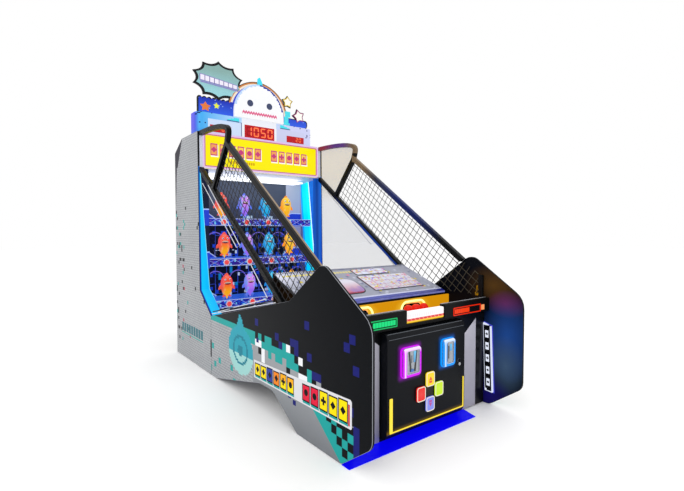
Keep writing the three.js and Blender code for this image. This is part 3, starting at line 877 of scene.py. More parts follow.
def make_cages():
    paint = Paint("cage_coat")
    x, y, z = paint.place()
    nx, _, nz = paint.facing()
    grain = paint.noise(700.0, 2.0)
    wear = paint.noise(26.0, 6.0) > 0.66
    coat = paint.mix(wear * 0.5, rgb("060708"), rgb("0e0f11"))
    middle = 735.0 + (y - 880.0) * 0.715
    low_rail = (z < middle + 12.0) & (x.abs() < 612.0)
    rail = ((z - 1857.0 - (y - 1700.0) * 0.7118).abs() < 34.0) & (y < 1706.0)
    upper = (rail | (z > 1905.0)) & (x > 0.0) & (nx < 0.5)
    # painted reflections (sheen): dim bands of colour from the lit displays on the right cage's upper tubes, away
    # from its outer face
    sheen = paint.layers(
        rgb("1c2a72"),
        (y.ramp(1100.0, 1420.0), rgb("3c4050")),
        (y.ramp(1380.0, 1560.0), rgb("8e775c")),
        (y.ramp(1710.0, 1850.0), rgb("6a4296")),
        (y.ramp(1980.0, 2180.0), rgb("a83c50")),
    )
    # the low rail has a blue tint toward the front; a painted tan highlight runs along the top of the left cage's
    # sloping rail, strongest toward the front
    coat = paint.layers(
        coat,
        (low_rail * y.ramp(2000.0, 1500.0) * 0.9, rgb("1d46ac")),
        ((nz > 0.3) & (x < 0.0) & (x > -617.0) & rail * y.ramp(1500.0, 1150.0) * 0.8, rgb("a08c74")),
        (upper * (paint.noise(3.0, 2.0) * 0.3 + 0.55) * y.ramp(640.0, 900.0), sheen),
    )
    tube = paint.finish(coat, 0.34, grain=grain, depth=0.0005, specular=0.1)
    for name in ("left", "right"):
        eased("cage_" + name, tube, 0.003, 3)

    for name in ("left", "right"):
        paint = Paint("clear_sheet_" + name)
        _, y, z = paint.place()
        cloud = paint.noise(2.2, 2.0)
        # painted reflection on the right sheet: a milky grey veil, warmer at the top towards the back; on the left
        # sheet the same tint shows only in faint scuffs
        warm = z.ramp(1480.0, 1620.0) * (y > 1700.0)
        haze = paint.mix(cloud, rgb("7a8292"), rgb("8e95a4"))
        haze = paint.mix(warm, haze, rgb("b09440"))
        scuff = paint.noise(7.0, 4.0).ramp(0.66, 0.8) * 0.08
        veil = scuff if name == "left" else 0.14 + cloud * 0.04 + warm * 0.08
        sheet = paint.finish(haze, 0.05, smudge=0.0, worn=0.0, specular=0.1, opacity=veil, grain=cloud)
        dress("clear_panel_" + name, sheet)

    # white extruded edging round the lower window of each clear sheet
    edging = moulded("window_edging", rgb("dfe2ea"), 0.3, 0.0)
    rubber = moulded("window_seal", rgb("0d0f18"), 0.5, 0.0, specular=0.2)
    for side, name in ((-1, "left"), (1, "right")):
        low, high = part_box("clear_panel_" + name)
        outer = low.x if side < 0 else high.x
        runs = (
            ((2164, 1588), (1489, 1067), (1436, 1083), (2036, 1561)), ((1258, 955), (1025, 758)),
            ((1976, 509), (918, 739)), ((1846, 545), (1039, 747)),
        )
        strips = [[(outer + side * mm(1.6), at_y(v), mm(w)) for v, w in run] for run in runs]
        bars("window_edging_" + name, strips, mm(3.2), edging, "cabinet", sides=8)
        sill = [[(outer + side * mm(0.6), at_y(1960), mm(530)), (outer + side * mm(0.6), at_y(960), mm(744))]]
        bars("window_sill_" + name, sill, mm(4.6), rubber, "cabinet", sides=8)


# ---------------------------------------------------------------- header and topper

SEGMENTS = {
    "a": "02356789", "b": "01234789", "c": "013456789", "d": "0235689", "e": "0268", "f": "045689",
    "g": "2345689",
}


def digit_outlines(text, left, base, height, width, pitch, lit_only=True):
    """Seven-segment outlines for each character, lit or unlit ones."""
    thick = height * 0.13
    half = thick / 2
    outlines = []
    for i, char in enumerate(text):
        x0 = left + i * pitch
        x1 = x0 + width
        z0, z2 = base, base + height
        z1 = (z0 + z2) / 2
        places = {
            "a": ("h", x0, x1, z2 - half),
            "g": ("h", x0, x1, z1),
            "d": ("h", x0, x1, z0 + half),
            "f": ("v", z1, z2, x0 + half),
            "b": ("v", z1, z2, x1 - half),
            "e": ("v", z0, z1, x0 + half),
            "c": ("v", z0, z1, x1 - half),
        }
        for name, (kind, a, b, c) in places.items():
            on = char in SEGMENTS[name]
            if on != lit_only:
                continue
            a2, b2 = a + half * 0.6, b - half * 0.6
            hexagon = [
                (a2, c), (a2 + half, c - half), (b2 - half, c - half), (b2, c), (b2 - half, c + half),
                (a2 + half, c + half),
            ]
            outlines.append(hexagon if kind == "h" else [(v, u) for u, v in hexagon])
    return outlines


def make_header():
    # the sign: a lit yellow face with plain blocks, in a lit frame
    low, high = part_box("marquee_face")
    front = low.y
    paint = Paint("marquee_print")
    x, y, z = paint.place()
    pitch = 85.0
    u = (x + 540.0) / pitch
    index = u.floor()
    f = u.frac()
    gap = index.within(5.5, 6.5)
    field = u.within(0.0, 12.0) & ~gap
    kind = paint.dice(index, 2.0, 1.0)
    foot = z - 1838.0
    stroke = field & f.within(0.08, 0.84) & foot.within(12.0, 118.0)
    inside = field & f.within(0.17, 0.75) & foot.within(22.0, 108.0)
    slit = icon((f - 0.46) * pitch, foot - 65.0, kind, 27.0) & inside
    shadow = field & f.within(0.12, 0.94) & foot.within(0.0, 14.0)
    side = field & f.within(0.84, 0.92) & foot.within(8.0, 106.0)
    small = x.within(-360.0, -110.0) & z.within(1794.0, 1818.0) & ((x / 22.0).frac() > 0.3)
    face = paint.layers(
        rgb("fff000"),
        (shadow | side, rgb("fffdf2")),
        (stroke, rgb("c9407e")),
        (inside, rgb("f5a45c")),
        (inside & (foot > 66.0) & (kind > 0.4), rgb("ffd25a")),
        (slit, rgb("c9407e")),
        (small, rgb("d9a400")),
    )
    sign = paint.finish(face, 0.25, lamp=0.85, smudge=0.04, worn=0.0, specular=0.15)
    eased("marquee_face", sign, 0.003)
    w0, w1, z0, z1 = low.x, high.x, low.z, high.z
    glow_outer = lit("frame_lilac", rgb("dcb4ea"), 0.85, 0.3)
    glow_inner = lit("frame_magenta", rgb("b04a8c"), 0.8, 0.1)

    def ring(name, inset, wide, span, material, radius):
        outer = rounded(w0 + inset, w1 - inset, z0 + inset, z1 - inset, radius, 6)
        inner = rounded(
            w0 + inset + wide, w1 - inset - wide, z0 + inset + wide, z1 - inset - wide,
            max(radius - wide, mm(2)), 6,
        )
        frame_ring(name, outer, inner, "y", span, material, "cabinet", bevel=0.0015)
    ring("sign_frame", 0.0, mm(15), proud(front, 9), glow_outer, mm(18))
    ring("sign_frame_line", mm(19), mm(6), proud(front, 4), glow_inner, mm(16))
    ring(
        "sign_frame_edge", mm(15.4), mm(3), proud(front, 6),
        moulded("frame_pink", rgb("d9609a"), 0.3, lamp=0.5), mm(17),
    )

    # white housing with a lit ceiling
    white = Paint("housing_white")
    x, y, z = white.place()
    dash = ((x / 34.0).frac() > 0.45) & (z < 1739.5) & (z > 1734.0) & (y < 2296.0)
    tone = white.layers(rgb("cfd3e0"), (dash, rgb("8f88d0")))
    eased("header_box", white.finish(tone, 0.35, lamp=0.2, specular=0.2), 0.003)
    ceiling = lit("ceiling_diffuser", rgb("f4f8ff"), 2.0, 0.3)
    slabs(
        "ceiling_light",
        [rounded(-0.52, 0.52, at_y(2420), at_y(2620), mm(12))],
        "z", (mm(1680), mm(1690)), ceiling, "cabinet", bevel=0.002,
    )


def make_score_box():
    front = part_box("score_box")[0].y
    paint = Paint("score_print")
    x, _, z = paint.place()
    _, ny, _ = paint.facing()
    end = x.ramp(-588.0, -616.0)
    qx, qz, cx, cz = pixels(x, z, 12.0)
    base = paint.layers(
        rgb("4ab0f4"),
        (x.ramp(-560.0, -200.0), rgb("b4dafd")),
        (x.ramp(120.0, 260.0), rgb("d0d3f6")),
        (end, rgb("5248e4")),
        (z.ramp(2110.0, 2060.0) * (x < -200.0) * 0.6, rgb("3a78e8")),
    )
    specks = (paint.dice(cx, cz, 4.0) > 0.94) & (qx.abs() > 380.0) & (qz > 2150.0)
    centre = (x.abs() < 184.0) & (ny < -0.5)
    mesh = ((x / 12.0).frac() > 0.5) & ((z / 12.0).frac() > 0.5) & x.within(205.0, 290.0) & (z < 2160.0)
    face = paint.layers(
        base,
        (specks, rgb("131a63")),
        (mesh & (ny < -0.5), rgb("7f8ccc")),
        (centre, rgb("eef1fa")),
        (ny > 0.5, rgb("20264a")),
    )
    eased("score_box", paint.finish(face, 0.26, lamp=0.75, worn=0.03, specular=0.15), 0.004, 3)

    display = Paint("display_glass")
    x, y, z = display.place()
    line = (z / 3.0).frac() < 0.2
    window = display.mix(line, rgb("c4141f"), rgb("9c0f1a"))
    plain = display.layers(
        rgb("cfe0fb"), (x.abs() < 184.0, rgb("f2f4fc")), (x > 184.0, rgb("cdd0f0")),
        ((z < 2074.0) & (x.abs() > 184.0), rgb("e4b4d8")),
    )
    strip = display.mix(z.within(2071.0, 2191.0) & (x.abs() < 158.0), plain, window)
    sides = x.within(-493.0, -291.0) | x.within(299.0, 501.0)
    strip = display.mix(sides & z.within(2081.0, 2145.0), strip, window)
    dress("score_display", display.finish(strip, 0.15, lamp=0.8, worn=0.0, smudge=0.05, specular=0.2))

    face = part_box("score_display")[0].y
    on = lit("digit_lit", rgb("ff6a1c"), 1.15, 0.1)
    off = moulded("digit_unlit", rgb("a31220"), 0.3, 0.0, lamp=0.5, specular=0.1)
    # main counter, and a smaller one on each side
    sets = (
        ("1050", -0.140, 2.088, 0.088, 0.054, 0.074), ("20", 0.404, 2.094, 0.040, 0.024, 0.036),
        ("05", -0.385, 2.094, 0.040, 0.024, 0.036),
    )
    for lit_only, material, name, depth in ((True, on, "digits_on", 1.6), (False, off, "digits_off", 1.0)):
        outlines = []
        for text, left, base, height, width, pitch in sets:
            outlines += digit_outlines(text, left, base, height, width, pitch, lit_only)
        slabs(name, outlines, "y", (face - mm(depth), face - mm(0.1)), material, "cabinet", smooth=None)

    # stepped fins and a conduit line on the shell, as plain pixel shapes
    fin = moulded("fin_cyan", rgb("2fe0ee"), 0.3, 0.3, lamp=0.3)
    navy = moulded("outline_navy", rgb("1a2f7c"), 0.35)
    steps = []
    shade = []
    for side, near, far, lift in ((-1, 0.212, 0.324, 2.209), (1, 0.228, 0.334, 2.212)):
        for i, cut_back in enumerate((0.0, 0.030, 0.062)):
            a, b = sorted((side * near, side * (far - cut_back)))
            level = lift + 0.0095 * i
            steps.append([(a, level), (b, level), (b, level + 0.0093), (a, level + 0.0093)])
        a, b = sorted((side * near, side * (far + 0.008)))
        shade.append([(a, lift - 0.007), (b, lift - 0.007), (b, lift - 0.0002), (a, lift - 0.0002)])
    plaque("shell_fins", steps, front, 5, fin, smooth=None)
    plaque("shell_fin_shade", shade, front, 4, navy, smooth=None)
    conduit = [
        [(-0.192, 2.075), (-0.186, 2.075), (-0.186, 2.200), (-0.192, 2.200)],
        [(-0.238, 2.2005), (-0.186, 2.2005), (-0.186, 2.2015), (-0.238, 2.2015)],
    ]
    plaque("shell_line", conduit, front, 6.5, navy, smooth=None)


def arch(radius_u, radius_v, centre, base, steps=32):
    points = [(radius_u, base)]
    for i in range(steps + 1):
        angle = math.pi * i / steps
        points.append((radius_u * math.cos(angle), centre + radius_v * math.sin(angle)))
    points.append((-radius_u, base))
    return points


def scalloped(u0, u1, v0, v1, bump, steps=6):
    """The outline of a rectangle whose top edge is a row of round bumps."""
    points = [(u0, v0), (u1, v0), (u1, v1)]
    count = max(2, round((u1 - u0) / (2.2 * bump)))
    wide = (u1 - u0) / count
    for k in range(count):
        middle = u1 - wide * (k + 0.5)
        for i in range(1, steps + 1):
            angle = math.pi * i / steps
            points.append((middle + wide / 2 * math.cos(angle), v1 + bump * math.sin(angle)))
    return points


def make_topper():
    low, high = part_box("topper_board")
    front = low.y
    base = low.z
    edge = moulded("topper_edge", rgb("0a0b10"), 0.35, 0.0, specular=0.2)
    plates = [
        arch(0.320, 0.320, 2.300, base),
        scalloped(-0.600, -0.200, base, 2.374, mm(21)),
        star(-0.400, 2.552, 0.249, 0.178, 10, 0.83, math.pi / 10, 6),
        rounded(0.200, 0.560, base, 2.330, mm(30), 6),
        star(0.322, 2.486, 0.066, 0.066, 5, 0.62, 0.3),
        star(0.455, 2.362, 0.078, 0.078, 5, 0.62, 0.6),
    ]
    for i, plate in enumerate(plates):
        lip = mm(0.2) * i
        piece = slabs(
            f"topper_plate_{i}", [plate], "y", (front + lip, high.y - lip), edge, "cabinet",
            slot=SLOTS["topper_board"], smooth=30.0, bevel=0.0015,
        )
        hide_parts("topper_board")

    def sheet(name, outlines, depth, material, start=0.2, **more):
        return plaque(name, outlines, front, depth, material, start=start, **more)

    # rainbow arch behind the dome
    centre = 2.300
    bands = (
        ("arch_orange", 0.313, "c9782c"), ("arch_cream", 0.299, "f4e4cc"), ("arch_night", 0.281, "2438c8"),
    )
    for i, (name, radius, colour) in enumerate(bands):
        paint = moulded(name, rgb(colour), 0.3, 0.3, lamp=0.15)
        sheet(
            name, [arch(radius, radius, centre, base + mm(2))], 1.2 + 0.8 * i, paint, start=0.2 + 0.8 * i,
            smooth=30.0,
        )

    # night backing with two plain stars
    night = Paint("night_print")
    x, y, z = night.place()
    sky = night.mix(z.ramp(2250.0, 2400.0), rgb("2f5fe8"), rgb("1420a8"))
    specks = (night.dice((x / 9.0).floor(), (z / 9.0).floor(), 1.0) > 0.985)
    sky = night.mix(specks, sky, rgb("8fb0ff"))
    night = night.finish(sky, 0.3, lamp=0.6, specular=0.2)
    sheet("night_left", [scalloped(-0.588, -0.225, base + mm(3), 2.366, mm(17))], 3.6, night, smooth=30.0)
    sheet("night_right", [rounded(0.21, 0.548, base + mm(3), 2.320, mm(24))], 1.0, night, smooth=30.0)
    orange = moulded("star_orange", rgb("e0701c"), 0.3, 0.3, lamp=0.3)
    sheet(
        "night_stars", [star(-0.528, 2.300, 0.052, 0.046, 5, 0.55, math.pi / 2)], 5.4, orange, start=3.8,
        bevel=0.001,
    )
    lime = moulded("star_lime", rgb("e6ef2a"), 0.3, 0.3, lamp=0.4)
    sheet(
        "night_star_small", [star(-0.424, 2.322, 0.031, 0.031, 5, 0.5, math.pi / 2)], 5.4, lime, start=3.8,
        bevel=0.001,
    )

    # the burst, with bowed edges and no wording
    burst = Paint("burst_print")
    x, y, z = burst.place()
    tone = burst.mix(z.ramp(2440.0, 2640.0), rgb("90ccd6"), rgb("84a9a5"))
    rise, fall = ((x + z) / 14.0).frac() - 0.5, ((x - z) / 14.0).frac() - 0.5
    dots = rise * rise + fall * fall
    fade = z.ramp(2700.0, 2440.0)
    tone = burst.mix((dots < 0.07) * fade * 0.5, tone, rgb("c9e8e6"))
    burst = burst.finish(tone, 0.3, lamp=0.2, specular=0.2)
    sheet(
        "burst_face", [star(-0.400, 2.552, 0.2180, 0.1480, 10, 0.855, math.pi / 10, 6)], 2.0, burst,
        smooth=30.0,
    )
    blocks = []
    shades = []
    row_left, row_foot = -0.570, 2.534
    pitch, drop, wide = 0.044, 0.0032, 0.037
    for i in range(8):
        u = row_left + i * pitch
        v = row_foot - i * drop
        tall = 0.046 - 0.002 * i
        lean = drop * wide / pitch
        for rim, into in ((0.0, blocks), (0.006, shades)):
            into.append([
                (u - rim, v - rim), (u + wide + rim, v - lean - rim),
                (u + wide + rim, v + tall - lean + rim), (u - rim, v + tall + rim),
            ])
    row_right, fall = row_left + 8 * pitch + 0.010, 8 * drop
    shades.append([
        (row_left, row_foot - 0.020), (row_right, row_foot - fall - 0.020),
        (row_right, row_foot - fall - 0.011), (row_left, row_foot - 0.011),
    ])
    pale = moulded("burst_blocks", rgb("efeaf8"), 0.3, 0.0, lamp=0.4, specular=0.2)
    violet = moulded("burst_shades", rgb("8d7cc4"), 0.3, 0.0, lamp=0.3, specular=0.2)
    for k, (name, outlines, material) in enumerate(
        (("burst_shades", shades, violet), ("burst_bars", blocks, pale))
    ):
        for i, outline in enumerate(outlines):
            sheet(
                f"{name}_{i}", [outline], 4.0 + 1.5 * k, material, start=2.2 + 1.5 * k + 0.02 * i,
                smooth=None,
            )

    # outlined stars on the right
    rims = (("yellow", 0.322, 2.486, 0.3, "e8c93c", 0.057), ("magenta", 0.455, 2.362, 0.6, "a02070", 0.069))
    for name, u, v, turn, colour, reach in rims:
        rim = moulded("star_rim_" + name, rgb(colour), 0.3, 0.3, lamp=0.25)
        sheet("star_rim_" + name, [star(u, v, reach, reach, 5, 0.62, turn)], 2.0, rim, smooth=None)
        core = moulded("star_core_" + name, rgb("fbfbf2"), 0.3, 0.3, lamp=0.35)
        sheet(
            "star_core_" + name, [star(u, v, reach - 0.013, reach - 0.013, 5, 0.62, turn)], 3.4, core,
            start=2.2, smooth=None,
        )
    tail = [
        [(0.268, 2.254), (0.345, 2.254), (0.345, 2.276), (0.268, 2.276)],
        [(0.280, 2.276), (0.330, 2.276), (0.330, 2.335), (0.280, 2.335)],
        [(0.292, 2.335), (0.352, 2.335), (0.352, 2.392), (0.292, 2.392)],
    ]
    cyan = moulded("tail_cyan", rgb("35dcea"), 0.3, 0.3, lamp=0.35)
    sheet("tail_steps", tail, 5.0, cyan, start=1.2, smooth=None)

    # the dome: plain white moulding with a stepped shade at its rim, two plain dots and a zig-zag band
    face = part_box("topper_dome")[0].y
    paint = Paint("dome_print")
    x, _, z = paint.place()
    qx, qz, _, _ = pixels(x, z, 13.0)
    du, dv = qx / 262.0, (qz - 2300.0) / 288.0
    reach = (du * du + dv * dv).root()
    shade = (reach > 0.94) & (qz > 2360.0)
    fin = z > 2588.0
    tone = paint.layers(
        rgb("f7f8fc"), (shade & (qx < 0.0), rgb("bcd6ff")), (shade & (qx > 0.0), rgb("24389c")),
        (fin, rgb("3fdcf0")),
    )
    eased("topper_dome", paint.finish(tone, 0.24, lamp=0.5, worn=0.02, specular=0.25), 0.006, 3)
    dots = [circle(-0.102, 2.398, 0.031, 28), circle(0.102, 2.398, 0.031, 28)]
    ink = moulded("dome_ink", rgb("1f2f5c"), 0.25, 0.4)
    plaque("dome_dots", dots, face, 2, ink, bevel=0.0006)
    upper = []
    lower = []
    for i in range(29):
        u = -0.182 + 0.013 * i
        zig = 0.008 if i % 2 else -0.008
        upper.append((u, 2.318 + zig))
        lower.append((u, 2.296 + zig))
    pink = moulded("dome_band", rgb("e0608c"), 0.25, 0.0, lamp=0.4)
    plaque("dome_zigzag", [lower + upper[::-1]], face, 2, pink, smooth=None)


# ---------------------------------------------------------------- target cabinet

SHELVES = ("lower", "middle", "upper")
SHELF_TOPS = (550.0, 930.0, 1305.0)


def shelf_wings(x, z):
    """Blue wings that rise from the shelf bands toward both side walls, and their pale edge."""
    reach = x.abs() - (x > 0.0) * 62.0
    sweep = reach.ramp(335.0, 445.0) * 76.0
    wings = []
    edges = []
    for top in SHELF_TOPS:
        rise = z - top
        wing = (rise > -72.0) & (rise < sweep) & (reach > 335.0)
        wings.append(wing)
        edges.append(wing & (rise > sweep - 11.0))
    return any_of(wings), any_of(edges)


def make_chamber():
    # glowing corner strips
    for name, top, foot in (("left", "00b0f8", "00c4ff"), ("right", "1050b4", "1c5cc0")):
        paint = Paint("corner_light_" + name)
        x, y, z = paint.place()
        inner = x.abs().ramp(632.0, 552.0)
        tone = paint.mix(inner, rgb(foot), rgb(top))
        if name == "left":
            tone = paint.mix(paint.noise(4.0, 2.0) * 0.10, tone, rgb("5ad8ff"))
            edge = 556.0 + (z - 667.0) * 0.066
            wings, wing_edges = shelf_wings(x, z)
            strip = x.abs() < edge
            tone = paint.layers(
                tone,
                (x.abs() < edge + 4.0, rgb("8ce8ff")),
                (strip, rgb("141c34")),
                (strip & wings, rgb("2440c8")),
                (strip & wing_edges, rgb("a8c0ff")),
            )
        else:
            band = (x.abs() - 590.0).abs().ramp(26.0, 4.0)
            tone = paint.mix(band * 0.6, tone, rgb("042a78"))
        glow = paint.finish(tone, 0.35, lamp=1.0, worn=0.0, specular=0.08)
        eased("side_light_" + name, glow, 0.003)

    paint = Paint("back_wall")
    x, y, z = paint.place()
    _, ny, _ = paint.facing()
    slate = paint.mix(paint.noise(6.0, 3.0), rgb("454e60"), rgb("5a6376"))
    slate = paint.mix(z.ramp(1500.0, 1240.0) * 0.6, slate, rgb("1c2440"))
    low = z < 1240.0
    cell = x / 116.6
    side = (cell.frac() - 0.5).abs() > 0.465
    level = (z / 95.0).frac() < 0.045
    pick = paint.dice(cell.floor(), (z / 95.0).floor(), 6.0)
    bit = paint.dice((x / 29.0).floor(), (z / 32.0).floor(), 7.0)
    navy = paint.mix(paint.noise(11.0, 2.0), rgb("07080f"), rgb("101a38"))
    # stepped arches behind the figures, with lit blocks at their feet
    post = ((x + 466.4) / 233.2).frac() * 233.2 - 116.6
    step_x, _, _, _ = pixels(post, z, 11.0)
    arches = []
    blocks = []
    for top in SHELF_TOPS:
        rise = z - top
        reach = (step_x * step_x + ((rise - 150.0) | 0.0) * ((rise - 150.0) | 0.0)).root()
        line = reach.within(86.0, 95.0) & rise.within(0.0, 260.0)
        foot = rise.within(8.0, 36.0) & ((post.abs() - 103.0).abs() < 34.0) & ((x / 20.0).frac() > 0.16)
        arches.append(line)
        blocks.append(foot)
    arches, blocks = any_of(arches), any_of(blocks)
    lit_block = paint.dice((x / 233.2).floor(), (z / 380.0).floor(), 3.0)
    wings, wing_edges = shelf_wings(x, z)
    wall_end = x.abs() > 446.0
    pale = paint.mix(z.ramp(700.0, 1700.0), rgb("8c90cc"), rgb("c4c8d8"))
    tone = paint.layers(
        slate,
        (low, navy),
        (low & side & (pick > 0.4), rgb("3f58d8")),
        (low & level & (pick > 0.5), rgb("3f58d8")),
        (low & (bit > 0.93) & (z < 1000.0) & ((x / 29.0).frac() < 0.7), rgb("d5e8fa")),
        (low & (bit < 0.07), rgb("1846d0")),
        (low & bit.within(0.48, 0.52), rgb("0a90d0")),
        (arches & low, rgb("8a78f0")),
        (wall_end & (z > 930.0), pale),
        (blocks & low, rgb("c8d8ee")),
        (blocks & ~low & (lit_block > 0.2), rgb("d8f4ff")),
        (wings, rgb("2a46d0")),
        (wing_edges, rgb("c8d8ff")),
        (ny > -0.5, rgb("121418")),
    )
    dress("target_wall", paint.finish(tone, 0.4, lamp=0.45, specular=0.1))

    paint = Paint("inner_floor")
    x, y, z = paint.place()
    tone = paint.mix(paint.noise(12.0, 3.0), rgb("24262e"), rgb("2c2e37"))
    # painted light: an orange glow on the floor and ramps round each ball outlet
    u, v = ((x.abs() - 246.0).abs() - 100.0 | 0.0) / 60.0, (y - 600.0) / 130.0
    warm = falloff(u, v) * (z > 500.0)
    glow = paint.mix(warm, (0.0, 0.0, 0.0, 1.0), rgb("f05810"))
    floor = paint.finish(tone, 0.5, specular=0.2, glow=glow, power=0.8)
    for node in ("cabinet_floor", "ball_ramp", "ball_tray"):
        dress(node, floor)
    box_grey = moulded("control_grey", rgb("6f7276"), 0.45, 0.1)
    eased("control_box", box_grey, 0.003)

    # shelves with printed bands
    paint = Paint("shelf_print")
    x, y, z = paint.place()
    _, _, nz = paint.facing()
    _, _, cx, cz = pixels(x, z, 14.0)
    hue = paint.dice(cx, cz, 1.0)
    wave = paint.noise(5.0, 2.0)
    base = paint.mix(wave.ramp(0.4, 0.6), rgb("1430b4"), rgb("34208e"))
    art = paint.layers(
        base, (hue > 0.66, rgb("1c58e8")), (hue > 0.86, rgb("6a34c4")), (hue > 0.94, rgb("7cd4ff")),
    )
    slash = (((x + z * 2.0) / 120.0).frac() < 0.06) | (((x - z * 2.0) / 150.0).frac() < 0.05)
    art = paint.mix(slash, art, rgb("aab8ff"))
    top = paint.mix(paint.noise(9.0, 2.0), rgb("2048d0"), rgb("3c78e4"))
    art = paint.mix(nz > 0.5, art, top)
    shelf = paint.finish(art, 0.28, lamp=0.6, specular=0.25)
    trim = lit("shelf_trim", rgb("aab8f0"), 0.8, 0.3)
    bezel_paint = Paint("lamp_bezel")
    bezel_white = bezel_paint.finish(rgb("dfe3f0"), 0.25, lamp=0.4, specular=0.2)
    lamp = lit("lamp_red", rgb("e8101c"), 0.95, 0.12)
    centres = []
    columns = sorted({round(JOINTS[f"target_lower_{i}_tilt"]["pos_m"][0], 4) for i in range(1, 5)})
    for shelf_name in SHELVES:
        node = "shelf_" + shelf_name
        eased(node, shelf, 0.0015)
        low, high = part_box(node)
        pin = JOINTS[f"target_{shelf_name}_1_tilt"]["pos_m"]
        top = pin[2] - mm(14)
        bottom = low.z
        front = low.y + mm(14)
        rails = []
        for level in (top - mm(3), bottom + mm(3)):
            rails.append(rounded(low.x + mm(1), high.x - mm(1), level - mm(2.5), level + mm(2.5), mm(2), 2))
        slabs(
            "shelf_trim_" + shelf_name, rails, "y", (front - mm(3), front - mm(0.3)), trim, "cabinet",
            smooth=None,
        )
        for x in columns:
            centres.append((x, low.y, top - mm(35)))
    bezel_mesh = bmesh.new()
    for cx, cy, cz in centres:
        points = []
        for i in range(48):
            angle = 2 * math.pi * i / 48
            radius = mm(31) + mm(3.4) * math.cos(8 * angle)
            points.append((cx + radius * math.cos(angle), cz + radius * math.sin(angle)))
        prism(bezel_mesh, *([(u, cy - mm(out), v) for u, v in points] for out in (3, 0.2)))
    show("lamp_bezels", bezel_mesh, bezel_white, "cabinet", bevel=0.001)
    profile = [(mm(22), mm(-3.2)), (mm(22), mm(-7))]
    for i in range(1, 7):
        angle = math.pi / 2 * i / 6
        profile.append((mm(22) * math.cos(angle), mm(-7) - mm(9) * math.sin(angle)))
    profile[-1] = (0.0, profile[-1][1])
    turned("lamps", profile, centres, "y", lamp, "cabinet", 24)


def fish_mesh():
    """A plump upright fish with the hinge at its origin: body, stem and foot as one smooth skin."""
    mesh = bmesh.new()
    # each ring of the skin: its height, half width and half depth
    rings = (
        (-0.0075, 0.0070, 0.0075), (0.006, 0.0082, 0.0085), (0.020, 0.0095, 0.0095), (0.028, 0.020, 0.014),
        (0.038, 0.034, 0.021), (0.056, 0.044, 0.026), (0.082, 0.052, 0.030), (0.112, 0.0585, 0.032),
        (0.142, 0.0595, 0.0325), (0.168, 0.055, 0.031), (0.188, 0.046, 0.027), (0.203, 0.032, 0.021),
        (0.2115, 0.015, 0.012),
    )
    steps = 28
    made = []
    for z, rx, ry in rings:
        made.append([mesh.verts.new((rx * math.cos(a), ry * math.sin(a), z)) for a in
                     [2 * math.pi * k / steps for k in range(steps)]])
    for a, b in zip(made, made[1:]):
        for k in range(steps):
            n = (k + 1) % steps
            mesh.faces.new((a[k], a[n], b[n], b[k]))
    mesh.faces.new(made[0][::-1])
    top = mesh.verts.new((0, 0, 0.2155))
    for k in range(steps):
        mesh.faces.new((made[-1][k], made[-1][(k + 1) % steps], top))
    bmesh.ops.recalc_face_normals(mesh, faces=mesh.faces)
    data = bpy.data.meshes.new("fish_body")
    mesh.to_mesh(data)
    mesh.free()
    return data


def fin_mesh(name, outlines, half):
    """Fins with thin edges: each outline is pushed both ways and pinched towards its rim."""
    mesh = bmesh.new()
    for points in outlines:
        centre_u = sum(p[0] for p in points) / len(points)
        centre_v = sum(p[1] for p in points) / len(points)
        rim = [mesh.verts.new((u, 0, v)) for u, v in points]
        for side in (-1, 1):
            inner = [
                mesh.verts.new(
                    (centre_u + (u - centre_u) * 0.72, side * half, centre_v + (v - centre_v) * 0.72)
                )
                for u, v in points
            ]
            for i in range(len(points)):
                j = (i + 1) % len(points)
                mesh.faces.new((rim[i], rim[j], inner[j], inner[i]))
            mesh.faces.new(inner)
    bmesh.ops.recalc_face_normals(mesh, faces=mesh.faces)
    data = bpy.data.meshes.new(name)
    mesh.to_mesh(data)
    mesh.free()
    return data


def curve_points(points, steps=5):
    """A smooth closed outline through corner points."""
    result = []
    count = len(points)
    for i in range(count):
        p0, p1, p2, p3 = (Vector(points[(i + k) % count]) for k in (-1, 0, 1, 2))
        for k in range(steps):
            t = k / steps
            result.append(tuple(0.5 * (2 * p1 + (p2 - p0) * t + (2 * p0 - 5 * p1 + 4 * p2 - p3) * t * t
                                       + (3 * p1 - p0 - 3 * p2 + p3) * t ** 3)))
    return result


FISH = (
    ("f8502c", "ffb414", "ffe0c8", "f02848"),
    ("d884f4", "a06cf8", "ffe6f4", "4878f0"),
    ("10c4f0", "12b0ec", "d8f8ff", "0c7cd8"),
    ("ffd418", "ffb810", "fff2c0", "ff8c08"),
)


